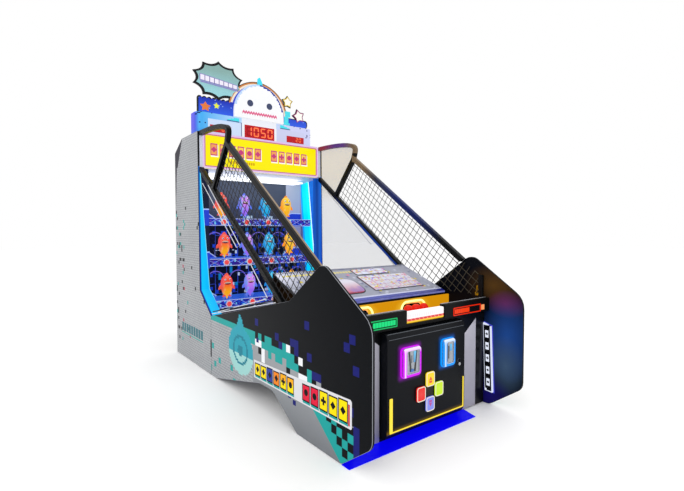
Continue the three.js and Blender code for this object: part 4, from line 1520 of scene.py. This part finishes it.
def make_targets():
    body = fish_mesh()
    crest = [(-0.026, 0.200), (0.022, 0.202), (0.016, 0.220), (0.004, 0.2325), (-0.014, 0.224)]
    arm = [(0.050, 0.124), (0.066, 0.120), (0.0795, 0.098), (0.0785, 0.080), (0.066, 0.082), (0.048, 0.096)]
    foot = [
        (-0.012, 0.050), (-0.030, 0.034), (-0.0435, 0.016), (-0.026, 0.012), (0.0, 0.022),
        (0.026, 0.012), (0.0435, 0.016), (0.030, 0.034), (0.012, 0.050),
    ]
    fins = [curve_points(points) for points in (crest, arm, [(-u, v) for u, v in arm], foot)]
    for i, (deep, main, belly_tone, fin_tone) in enumerate(FISH, start=1):
        paint = Paint(f"fish_{i}")
        x, y, z = paint.split(paint.vector)
        crown = paint.mix(z.ramp(0.06, 0.135), rgb(main), rgb(deep))
        u, v = x / 0.030, (z - 0.139) / 0.0125
        mouth = (u * u + v * v < 1.0) & (y < 0.0)
        teeth = mouth & ((x / 0.0085).frac() > 0.45) & (z > 0.139)
        stagger = ((z / 0.011).floor() * 0.5).frac()
        scale_u, scale_v = (x / 0.014 + stagger).frac() - 0.5, (z / 0.011).frac() - 0.5
        scales = ((scale_u * scale_u + scale_v * scale_v) > 0.2) & (z > 0.02) & ~mouth
        flank = x.abs().ramp(0.030, 0.046)
        cheek = paint.noise(24.0, 2.0).ramp(0.52, 0.6)
        tone = paint.layers(
            crown, (cheek * (0.55 if i == 2 else 0.15), rgb("58d0f8" if i == 2 else belly_tone)),
            (scales * 0.2, rgb(fin_tone)), (flank * 0.6, rgb(fin_tone)), (mouth, rgb("5c1430")),
            (teeth, rgb(belly_tone)),
        )
        skin = paint.finish(tone, 0.25, coat=0.2, lamp=0.85, specular=0.3)
        fin_paint = Paint(f"fish_fin_{i}")
        x, y, z = fin_paint.split(fin_paint.vector)
        rays = ((x * 0.8 + z) / 0.006).frac() < 0.3
        tone = fin_paint.mix(rays * 0.5, rgb(fin_tone), rgb(main))
        fin_skin = fin_paint.finish(tone, 0.3, coat=0.2, lamp=0.85, specular=0.3)
        shape = body.copy()
        fin_shape = fin_mesh(f"fish_fins_{i}", fins, 0.0042)
        for shelf in SHELVES:
            name = f"target_{shelf}_{i}"
            pivot = Vector(JOINTS[name + "_tilt"]["pos_m"])
            fish = show(f"fish_{shelf}_{i}", shape, skin, name, SLOTS[name], smooth=60.0, at=pivot)
            smoothing = fish.modifiers.new("round", "SUBSURF")
            smoothing.levels = 1
            smoothing.render_levels = 1
            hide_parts(name)
            show(f"fish_fins_{shelf}_{i}", fin_shape, fin_skin, name, SLOTS[name], smooth=50.0, at=pivot)
    ink = moulded("fish_eye_ink", rgb("101626"), 0.15, 0.6)
    white = moulded("fish_eye_white", rgb("f5f6fa"), 0.2, 0.5)
    for shelf in SHELVES:
        for i in range(1, 5):
            name = f"target_{shelf}_{i}"
            pivot = Vector(JOINTS[name + "_tilt"]["pos_m"])
            for kind, radius, out, material in (
                ("white", 0.0095, 0.0255, white), ("ink", 0.0058, 0.0285, ink),
            ):
                profile = [
                    (radius * math.cos(math.pi / 2 * k / 5), -radius * 0.62 * math.sin(math.pi / 2 * k / 5))
                    for k in range(6)
                ]
                profile[-1] = (0.0, profile[-1][1])
                profile = [(radius, 0.008)] + profile
                centres = [pivot + Vector((side * 0.021, -out, 0.172)) for side in (-1, 1)]
                turned(f"fish_eyes_{kind}_{shelf}_{i}", profile, centres, "y", material, name, 16)


# ---------------------------------------------------------------- deck and ball path


def make_deck():
    low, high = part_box("deck")
    paint = Paint("deck_print")
    x, y, z = paint.place()
    _, _, nz = paint.facing()
    grey = paint.mix(paint.noise(5.0, 3.0), rgb("84879a"), rgb("a0a3b4"))
    grey = paint.mix(x.ramp(-330.0, -560.0) * y.ramp(800.0, 960.0), grey, rgb("dfe2f6"))
    _, _, cx, cy = pixels(x, y, 22.0)
    hue = paint.dice(cx, cy, 1.0)
    confetti = hue > 0.9
    pick = paint.dice(cx, cy, 2.0)
    tint = paint.layers(
        rgb("b9bccb"), (pick > 0.4, rgb("6f7494")), (pick > 0.78, rgb("c9b640")),
        (pick > 0.92, rgb("c9708f")),
    )
    dots = ((x / 16.0).frac() > 0.5) & (y > 1012.0)
    dash = ((x / 26.0).frac() > 0.4) & y.within(968.0, 990.0) & (x < 40.0) & (x > -560.0)
    blue = y < 632.0
    fade = x.ramp(-600.0, 600.0)
    band = paint.mix(fade, rgb("5a64c0"), rgb("20267e"))
    pale = (y < 646.0) & ~blue
    tone = paint.layers(
        grey,
        (confetti, tint),
        (dash, rgb("e8d860")),
        (dots, rgb("4c4f66")),
        (pale, rgb("c4c8e4")),
        (blue, band),
        (nz < 0.5, rgb("0f1016")),
    )
    eased("deck", paint.finish(tone, 0.3, worn=0.04, specular=0.25), 0.003)

    slope = (high.z - mm(750)) / (high.y - low.y)

    def deck_z(y):
        return mm(750) + (y - low.y) * slope

    def panel(name, outline, lift, thick, material, **more):
        mesh = bmesh.new()
        prism(mesh, *([(u, v, deck_z(v) + up) for u, v in outline] for up in (lift, lift + thick)))
        return show(name, mesh, material, "cabinet", **more)

    dark = moulded("inset_rim", rgb("10121a"), 0.3, 0.0, specular=0.25)
    paint = Paint("inset_art")
    x, y, z = paint.place()
    _, _, cx, cy = pixels(x, y, 15.0)
    hue = paint.dice(cx, cy, 3.0)
    grid = ((x / 75.0).frac() < 0.05) | ((y / 48.0).frac() < 0.07)
    art = paint.layers(
        paint.mix(y.ramp(720.0, 880.0), rgb("c4b8c8"), rgb("d4dcf0")), (hue > 0.45, rgb("d4d0d8")),
        (hue > 0.76, rgb("dcc45c")),
        (hue > 0.85, rgb("e08aa8")),
        (hue > 0.93, rgb("8c80dc")),
        (grid, rgb("b0708c")),
    )
    right_art = paint.finish(art, 0.22, specular=0.3)
    paint = Paint("inset_sky")
    x, y, z = paint.place()
    wave = paint.noise(7.0, 2.0)
    art = paint.layers(
        paint.mix(y.ramp(690.0, 840.0), rgb("c2506e"), rgb("dcdae8")),
        (wave.ramp(0.48, 0.66) * 0.7, rgb("8478c4")),
        ((y < 704.0), rgb("9c3550")),
    )
    left_art = paint.finish(art, 0.22, specular=0.3)
    insets = (
        ("inset_left", -0.36, -0.075, at_y(690), at_y(880), mm(60), left_art),
        ("inset_right", 0.00, 0.470, at_y(700), at_y(900), mm(10), right_art),
        ("inset_small", 0.02, 0.330, at_y(925), at_y(1000), mm(14), right_art),
    )
    for name, u0, u1, v0, v1, radius, art in insets:
        panel(
            name + "_rim", rounded(u0 - mm(7), u1 + mm(7), v0 - mm(7), v1 + mm(7), radius + mm(5), 6),
            mm(0.2), mm(1.4), dark, bevel=0.0006,
        )
        panel(name, rounded(u0, u1, v0, v1, radius, 6), mm(1.8), mm(1.6), art, bevel=0.0006)
    edge_blue = lit("deck_edge_light", rgb("3a44b4"), 0.6, 0.3)
    slabs(
        "deck_edge", [rounded(low.x + mm(4), high.x - mm(4), mm(735), mm(748), mm(4))],
        "y", (low.y - mm(3), low.y - mm(0.2)), edge_blue, "cabinet", bevel=0.001,
    )
    # painted shadow: a dark strip in front of the deck's face, just below its lit edge
    shadow = moulded("deck_lip", rgb("0d0e14"), 0.3, 0.0, specular=0.2)
    slabs(
        "deck_lip", [rounded(low.x + mm(2), high.x - mm(2), mm(721), mm(734), mm(3))],
        "y", (low.y - mm(5), low.y - mm(0.2)), shadow, "cabinet", bevel=0.001,
    )


def make_ball_path():
    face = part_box("ball_fascia")[0].y
    paint = Paint("fascia_amber")
    x, y, z = paint.place()
    # painted glow: the amber face turns paler yellow round each outlet, as light from the neon arches
    halos = []
    for centre in (-246.0, 246.0):
        u, v = (x - centre) / 190.0, (z - 640.0) / 105.0
        halos.append(falloff(u, v))
    near = any_of(halos)
    tone = paint.mix(near, rgb("e0980a"), rgb("ffe23c"))
    fascia = paint.finish(tone, 0.28, lamp=0.85, specular=0.2)
    eased("ball_fascia", fascia, 0.0025)
    neon = lit("neon_yellow", rgb("ffec5a"), 1.5, 0.4)
    paths = []
    bend = 0.055
    for centre in (-0.246, 0.246):
        points = [(centre - 0.117, face - mm(7), mm(618))]
        for i in range(13):
            angle = math.pi - math.pi * i / 12
            across = math.cos(angle)
            half_flat = math.copysign(0.062, across) if abs(across) > 1e-6 else 0.0
            points.append(
                (centre + half_flat + bend * across, face - mm(7), mm(652) + bend * math.sin(angle))
            )
        points.append((centre + 0.117, face - mm(7), mm(618)))
        paths.append(points)
    bars("outlet_neon", paths, mm(7.0), neon, "cabinet", sides=10)
    # painted light: a glowing amber tube just inside each outlet, behind the neon, fills the outlet with glow
    amber = lit("outlet_amber", rgb("ff9a10"), 1.2, 0.2)
    glow_lip = [[(u, v + mm(26), w - mm(11)) for u, v, w in path] for path in paths]
    bars("outlet_liner", glow_lip, mm(11.0), amber, "cabinet", sides=8)
    # the balls glow with painted light from the outlet lamps; their red varies a little in patches
    tray = Paint("balls_red")
    x, y, z = tray.place()
    red = tray.mix(tray.noise(60.0, 3.0), rgb("e01008"), rgb("f42a10"))
    red = tray.finish(red, 0.25, lamp=0.75, specular=0.15)
    radius = (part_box("ball_a")[1].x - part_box("ball_a")[0].x) / 2
    for node in ("ball_a", "ball_b", "ball_c"):
        centre = mid(node) if node in NODES else mid("ball_b") + Vector((mm(72), mm(-4), 0))
        mesh = bmesh.new()
        bmesh.ops.create_icosphere(mesh, subdivisions=4, radius=radius)
        ball = show(node + "_round", mesh, red, "cabinet", SLOTS["ball_a"], smooth=80.0, at=centre)
        for vertex in ball.data.vertices:
            seam = abs(vertex.co.normalized().z + 0.3 * math.sin(2 * math.atan2(vertex.co.y, vertex.co.x)))
            if seam < 0.05:
                vertex.co *= 1 - 0.012 * (1 - seam / 0.05)
        if node in NODES:
            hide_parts(node)


# ---------------------------------------------------------------- front rail, panel and signs


def make_front():
    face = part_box("front_rail")[0].y
    paint = Paint("rail_print")
    x, y, z = paint.place()
    _, _, nz = paint.facing()
    black = paint.mix(paint.noise(90.0, 3.0), rgb("070908"), rgb("0e100f"))
    # painted highlight: a grey glint line along the rail's top faces; the left end has a faint green tint
    rail_top = (nz > 0.6) & (x.abs() > 166.0)
    glint = rail_top & y.within(270.0, 286.0)
    green = x.ramp(-430.0, -600.0) * 0.35
    tone = paint.layers(black, (green, rgb("0c3a1c")), (glint, rgb("9a9ca2")))
    eased("front_rail", paint.finish(tone, 0.32, specular=0.08), 0.004, 3)

    bar_paint = Paint("bar_light")
    x, _, z = bar_paint.place()
    tone = bar_paint.layers(
        rgb("fbf4f4"),
        (((x / 19.0).frac() < 0.16) & z.within(688.0, 706.0), rgb("e9d2da")),
        (z < 681.0, rgb("d82436")),
        ((z < 681.0) & ((x / 34.0 + z / 40.0).frac() < 0.3) & (z > 668.0), rgb("f08070")),
        (z < 668.0, rgb("f5c418")),
    )
    eased("rail_light", bar_paint.finish(tone, 0.2, lamp=1.0, worn=0.0, smudge=0.03), 0.008, 3)

    # charge-gauge signs on each side of the notch
    gauges = (
        ("gauge_green", -0.529, -0.247, "00b060", "00dc7c", False),
        ("gauge_red", 0.247, 0.529, "e82800", "f03c08", True),
    )
    for name, u0, u1, colour, cell_colour, has_nub in gauges:
        z0, z1 = 0.652, 0.704
        glow = lit(name + "_light", rgb(colour), 1.0, 0.0)
        outer = rounded(u0, u1, z0, z1, mm(5))
        inner = rounded(u0 + mm(6), u1 - mm(6), z0 + mm(6), z1 - mm(6), mm(2))
        frame_ring(
            name + "_frame", outer, inner, "y", proud(face, 4), glow, "cabinet",
            bevel=0.0008,
        )
        span = (u1 - u0 - mm(24)) * (0.66 if name.endswith("green") else 0.58)
        start = u1 - mm(12) - span if name.endswith("green") else u0 + mm(12)
        pitch = span / 8
        blocks = [
            rounded(
                start + pitch * k + mm(2), start + pitch * (k + 1) - mm(2), z0 + mm(12), z1 - mm(12),
            ) for k in range(8)
        ]
        cells_paint = lit(name + "_cells", rgb(cell_colour), 1.0, 0.0)
        plaque(name + "_cells_lit", blocks, face, 3, cells_paint, smooth=None)
        if has_nub:
            nub = [rounded(u1 + mm(8), u1 + mm(40), z0 + mm(9), z1 - mm(9), mm(3))]
            nub_paint = lit("gauge_nub_light", rgb("f98a1e"), 1.0, 0.2)
            plaque(name + "_nub", nub, face, 4, nub_paint, bevel=0.0008)

    # front panel with pale diagonal strips
    paint = Paint("front_panel_print")
    x, y, z = paint.place()
    slope = (x.abs() - 345.0) * 0.732 + (x < 0.0) * 90.0
    pale = (x.abs() > 345.0) & (x.abs() < 535.0) & (z < slope + 461.0) & (y < 288.0)
    shade = paint.mix(z.ramp(0.0, 560.0), rgb("a8a6b4"), rgb("cac8d4"))
    tone = paint.layers(paint.mix(paint.noise(120.0, 4.0), rgb("07080a"), rgb("0e0f12")), (pale, shade))
    eased("front_panel", paint.finish(tone, 0.35, specular=0.2), 0.002)

    paint = Paint("floor_plate_blue")
    x, y, z = paint.place()
    blue = paint.mix(paint.noise(30.0, 4.0), rgb("0000f0"), rgb("0a04ff"))
    dress("base_plate", paint.finish(blue, 0.35, lamp=0.7, specular=0.1))
    steel = Paint("brushed_steel")
    streak = steel.node("ShaderNodeMapping")
    steel.put(steel.vector, streak.inputs[0])
    streak.inputs["Scale"].default_value = (4.0, 4.0, 600.0)
    grain = steel.noise(3.0, 4.0, streak.outputs[0])
    steel_material = steel.finish(
        steel.mix(grain, rgb("8f9297"), rgb("b9bcc0")), 0.3, metal=1.0, grain=grain, depth=0.0004,
    )
    dress("coin_box", steel_material)

    # leaning sign on the right board's inner face: lit outline and a plain column of blocks
    sign = Paint("side_sign_print")
    x, y, z = sign.place()
    lean = y - 206.0 - (z - 92.0) * 0.042
    rim = (lean < 4.5) | (lean > 53.5) | (z < 101.0) | (z > 546.0) | ((z < 114.0) & (lean > 42.0))
    v = (z - 124.0) / 82.0
    f = v.frac()
    kind = sign.dice(v.floor(), 5.0, 5.0)
    block = f.within(0.12, 0.72) & lean.within(16.0, 42.0) & v.within(0.0, 5.0)
    hole = icon(lean - 29.0, (f - 0.42) * 82.0, kind, 10.0)
    face = sign.layers(
        rgb("06070b"), (rim, rgb("dfe6fa")), (block, rgb("e8eeff")), (hole & block, rgb("06070b")),
    )
    eased("side_sign", sign.finish(face, 0.25, lamp=0.95, worn=0.0, specular=0.15), 0.002)
    # painted glow: a thin blue sheet behind the sign, a little larger than it, stands for the light round the sign
    halo = lit("sign_halo", rgb("1a26c8"), 0.8, 0.1)
    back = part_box("side_sign")[1].x
    outline = [(at_y(199), 0.086), (at_y(268), 0.090), (at_y(290), 0.566), (at_y(219), 0.546)]
    slabs("side_sign_back", [outline], "x", (back - mm(3), back - mm(0.1)), halo, "cabinet", smooth=None)


# ---------------------------------------------------------------- coin door


def make_coin_door():
    low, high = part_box("coin_door")
    face = low.y
    body = "coin_door"
    paint = Paint("door_black")
    x, y, z = paint.place()
    speck = paint.noise(260.0, 3.0)
    tone = paint.mix(speck, rgb("080a0e"), rgb("101318"))
    # painted highlights: two grey lines along the edges of the brow
    lines = z.within(614.5, 617.5) | z.within(586.0, 589.0)
    tone = paint.mix(lines & (x.abs() < 326.0) & (y < 252.0), tone, rgb("5c6066"))
    # painted light on the door: magenta and blue glows round the coin and card plates, and a yellow glow along the
    # foot from the lit strip
    glow = None
    for node, colour in (("coin_plate", "b018d8"), ("card_plate", "1070e0")):
        centre = mid(node)
        plow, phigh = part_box(node)
        u = ((x - centre.x * 1000).abs() - (phigh.x - plow.x) * 500 | 0.0) / 34.0
        v = ((z - centre.z * 1000).abs() - (phigh.z - plow.z) * 500 | 0.0) / 34.0
        near = falloff(u, v)
        near = near * near * 0.55 * (y < 232.0)
        glow = paint.mix(near, glow or (0.0, 0.0, 0.0, 1.0), rgb(colour))
    bottom = (1.0 - (z - 70.0).abs() / 26.0).clamp()
    glow = paint.mix(bottom * bottom * 0.16 * (y < 232.0), glow, rgb("ffc818"))
    skin = paint.finish(tone, 0.36, glow=glow, power=1.0, depth=0.0005, specular=0.08)
    eased("coin_door", skin, 0.006, 3)

    strip = lit("strip_yellow", rgb("ffe000"), 1.05, 0.1)
    left, right = low.x + mm(16), high.x - mm(12)
    pieces = [
        rounded(left, right, 0.0655, 0.0718, mm(3)),
        rounded(left, left + mm(22), 0.0718, 0.262, mm(4)),
        rounded(right - mm(6), right, 0.0718, 0.262, mm(3)),
    ]
    for name, outline in zip(("strip_bottom", "strip_left", "strip_right"), pieces):
        plaque(name, [outline], face, 5, strip, body, bevel=0.0012)

    # raised pad plate with a dark centre between the buttons
    dark = moulded("pad_centre", rgb("1c1814"), 0.4, 0.0, specular=0.2)
    cu, cv = mid("button_up").x, (mid("button_left").z + mid("button_right").z) / 2
    plaque(
        "pad_hub", [rounded(cu - 0.036, cu + 0.036, cv - 0.031, cv + 0.031, mm(6))], face, 4, dark, body,
        bevel=0.001,
    )
    white = lit("button_rim_light", rgb("f4ead4"), 0.85, 0.3)
    tones = {
        "button_up": ("ffdc00", "e8501c"), "button_right": ("ccf00c", "9cc81c"),
        "button_left": ("f01608", "d80f1e"), "button_down": ("858ff0", "b8489c"),
    }
    for name, (main, icon) in tones.items():
        blow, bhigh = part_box(name)
        cap_face = blow.y
        paint = Paint(name + "_cap")
        x, y, z = paint.place()
        cx, cz = (blow.x + bhigh.x) * 500, (blow.z + bhigh.z) * 500
        u, v = (x - cx).abs(), (z - cz).abs()
        glow_in = 1.0 - ((u * u + v * v).root() / 60.0).clamp()
        tone = paint.mix(glow_in * 0.06, rgb(main), rgb("ffffff"))
        cap = paint.finish(tone, 0.25, lamp=0.92, worn=0.02, specular=0.15)
        eased(name, cap, 0.004, 3, outward_only=True)
        outer = rounded(blow.x + mm(0.5), bhigh.x - mm(0.5), blow.z + mm(0.5), bhigh.z - mm(0.5), mm(14), 5)
        inner = rounded(blow.x + mm(5.5), bhigh.x - mm(5.5), blow.z + mm(5.5), bhigh.z - mm(5.5), mm(10), 5)
        frame_ring(
            name + "_rim", outer, inner, "y", proud(cap_face, 2.0), white, name,
            bevel=0.0008,
        )
        cu, cv = (blow.x + bhigh.x) / 2, (blow.z + bhigh.z) / 2
        if name in ("button_up", "button_down"):
            turn = 1 if name == "button_up" else -1
            shape = [
                (cu - 0.014, cv - 0.006 * turn), (cu + 0.014, cv - 0.006 * turn), (cu, cv + 0.016 * turn),
            ]
            stem = rounded(
                cu - 0.012, cu + 0.012, cv - 0.022 if turn > 0 else cv + 0.010,
                cv - 0.010 if turn > 0 else cv + 0.022,
            )
            icon_paint = moulded(name + "_icon", rgb(icon), 0.3, 0.0, lamp=0.7)
            plaque(name + "_arrow", [shape, stem], cap_face, 1.4, icon_paint, name, smooth=None)

    # the coin and card plates
    chrome = Paint("plate_steel")
    streak = chrome.node("ShaderNodeMapping")
    chrome.put(chrome.vector, streak.inputs[0])
    streak.inputs["Scale"].default_value = (500.0, 4.0, 6.0)
    grain = chrome.noise(3.0, 4.0, streak.outputs[0])
    steel = chrome.finish(
        chrome.mix(grain, rgb("7d848c"), rgb("c3c8ce")), 0.3, metal=0.8, grain=grain, depth=0.0003,
    )
    chrome_rim = moulded("plate_rim", rgb("b9bfc8"), 0.15, 0.0, metal=0.9)
    for node, halo_tone, left_wide in (("coin_plate", "d414f4", 30), ("card_plate", "0c98ff", 34)):
        plow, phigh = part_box(node)
        pface = plow.y
        dress(node, steel)
        halo = lit(node + "_halo", rgb(halo_tone), 1.0, 0.0)
        paint = Paint(node + "_bezel_light")
        x, y, z = paint.place()
        # painted highlights on the lit bezel: whiter in a band on its wide left side and towards the top
        u = (x - plow.x * 1000 - left_wide * 0.55).abs() / 9.0
        white = (1.0 - u).clamp() * 0.8 | z.ramp(phigh.z * 1000 - 34, phigh.z * 1000 - 6) * 0.75
        edge = ((x - plow.x * 1000) < 7.0) | ((phigh.x * 1000 - x) < 4.0)
        tone = paint.mix(white & ~edge, rgb(halo_tone), (1.0, 1.0, 1.0, 1.0))
        bezel = paint.finish(tone, 0.2, lamp=1.05, worn=0.0, smudge=0.03, specular=0.2)
        outer = rounded(plow.x - mm(5), phigh.x + mm(5), plow.z - mm(5), phigh.z + mm(5), mm(26), 7)
        middle = rounded(plow.x + mm(0.4), phigh.x - mm(0.4), plow.z + mm(0.4), phigh.z - mm(0.4), mm(22), 7)
        inner = rounded(plow.x + mm(left_wide), phigh.x - mm(9), plow.z + mm(13), phigh.z - mm(17), mm(10), 7)
        lip = rounded(
            plow.x + mm(left_wide + 4), phigh.x - mm(13), plow.z + mm(17), phigh.z - mm(21), mm(8), 7,
        )
        gap = face - mm(0.25)
        ring_in = rounded(plow.x - mm(0.3), phigh.x + mm(0.3), plow.z - mm(0.3), phigh.z + mm(0.3), mm(22), 7)
        frame_ring(node + "_glow", outer, ring_in, "y", (face - mm(13), gap), halo, body, bevel=0.003)
        frame_ring(
            node + "_bezel", middle, inner, "y", proud(pface, 7), bezel, body,
            bevel=0.0025,
        )
        frame_ring(
            node + "_lip", inner, lip, "y", (pface - mm(4), pface - mm(0.3)), chrome_rim, body, bevel=0.001,
        )

    plow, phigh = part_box("coin_plate")
    pface, cu = plow.y, mid("coin_plate").x + mm(9)
    black = moulded("plate_black", rgb("0b0c10"), 0.3, 0.4)
    legs = []
    for side in (-1, 1):
        legs.append([
            (cu + side * 0.034, 0.507), (cu + side * 0.026, 0.507), (cu + side * 0.013, 0.400),
            (cu + side * 0.013, 0.388), (cu + side * 0.021, 0.388),
        ])
    legs.append([(cu - 0.0128, 0.388), (cu + 0.0128, 0.388), (cu + 0.0128, 0.396), (cu - 0.0128, 0.396)])
    plaque("coin_vee", legs, pface, 3, black, body, smooth=None)
    insert = Paint("coin_insert_blue")
    x, y, z = insert.place()
    tone = insert.mix(z.ramp(400.0, 510.0), rgb("1b62b8"), rgb("62c8f4"))
    insert = insert.finish(tone, 0.2, coat=0.5, lamp=0.5)
    window = [(cu + 0.006, 0.440), (cu + 0.020, 0.440), (cu + 0.028, 0.504), (cu + 0.006, 0.504)]
    plaque("coin_insert", [window], pface, 2, insert, body, bevel=0.0006)
    dress("return_button", insert)
    plow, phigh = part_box("card_plate")
    pface, cu = plow.y, mid("card_plate").x
    guide = [(cu - 0.030, 0.400), (cu - 0.010, 0.388), (cu - 0.010, 0.502), (cu - 0.030, 0.490)]
    plaque("card_guide", [guide], pface, 3, black, body, bevel=0.0006)
    plaque(
        "card_insert", [rounded(cu + 0.010, cu + 0.028, 0.452, 0.494)], pface, 2, insert, body,
        bevel=0.0006,
    )

    lock_at = mid("door_lock")
    ring = [
        (mm(10.6), mm(-0.2)), (mm(14), mm(-0.2)), (mm(14), mm(-1.5)), (mm(12.5), mm(-3)),
        (mm(10.6), mm(-3)), (mm(10.6), mm(-0.2)),
    ]
    dull = moulded("lock_rim", rgb("4c5058"), 0.3, 0.0, metal=0.8)
    turned("lock_ring", ring, [(lock_at.x, face, lock_at.z)], "y", dull, body, 28)
    lock = Paint("lock_chrome")
    x, y, z = lock.place()
    tone = lock.mix(lock.noise(300.0, 2.0), rgb("a8abb0"), rgb("d6d8dc"))
    eased("door_lock", lock.finish(tone, 0.2, metal=1.0), 0.001)


# ---------------------------------------------------------------- stage, light and camera


def make_stage():
    floor_paint = Paint("studio_floor")
    tone = floor_paint.mix(floor_paint.noise(1.5, 2.0), (0.95, 0.95, 0.95, 1), (0.98, 0.98, 0.98, 1))
    pale = floor_paint.finish(tone, 0.8, glow=tone, power=0.06, worn=0.0, smudge=0.0, specular=0.0)
    mesh = bmesh.new()
    size = 30.0
    corners = [mesh.verts.new((u * size, v * size, 0.0)) for u, v in ((-1, -1), (1, -1), (1, 1), (-1, 1))]
    mesh.faces.new(corners)
    data = bpy.data.meshes.new("studio_floor")
    mesh.to_mesh(data)
    mesh.free()
    floor = bpy.data.objects.new("studio_floor", data)
    data.materials.append(pale)
    floor.location.z = -0.001
    bpy.context.scene.collection.objects.link(floor)

    world = bpy.data.worlds.new("studio_world")
    world.use_nodes = True
    background = world.node_tree.nodes["Background"]
    background.inputs[0].default_value = (1.0, 1.0, 1.0, 1.0)
    background.inputs[1].default_value = 1.0
    bpy.context.scene.world = world

    def area(name, place, target, size, power, colour=(1, 1, 1)):
        light = bpy.data.lights.new(name, "AREA")
        light.shape = "RECTANGLE"
        light.size, light.size_y = size
        light.energy = power
        light.color = colour
        obj = bpy.data.objects.new(name, light)
        obj.location = place
        aim = Vector(target) - Vector(place)
        obj.rotation_euler = aim.to_track_quat("-Z", "Y").to_euler()
        bpy.context.scene.collection.objects.link(obj)

    area("key_left", (-4.5, -3.5, 4.5), (0, 0, 1.0), (3.0, 3.0), 70)
    area("fill_right", (5.0, -3.0, 3.0), (0, 0, 1.0), (2.5, 3.5), 30)
    area("top_soft", (0.0, 0.0, 6.0), (0, 0, 0), (4.0, 4.0), 40)

    camera = bpy.data.cameras.new("camera")
    camera.lens = 23.23
    camera.sensor_width = 36.0
    obj = bpy.data.objects.new("camera", camera)
    obj.location = (-1.9907, FRONT - 1.5150, 1.1928)
    obj.rotation_euler = (math.radians(88.013), 0.0, math.radians(-37.545))
    bpy.context.scene.collection.objects.link(obj)
    bpy.context.scene.camera = obj
    bpy.context.scene.view_settings.view_transform = "Standard"


make_boards()
make_cages()
make_nets()
make_header()
make_score_box()
make_topper()
make_chamber()
make_targets()
make_deck()
make_ball_path()
make_front()
make_coin_door()
make_stage()
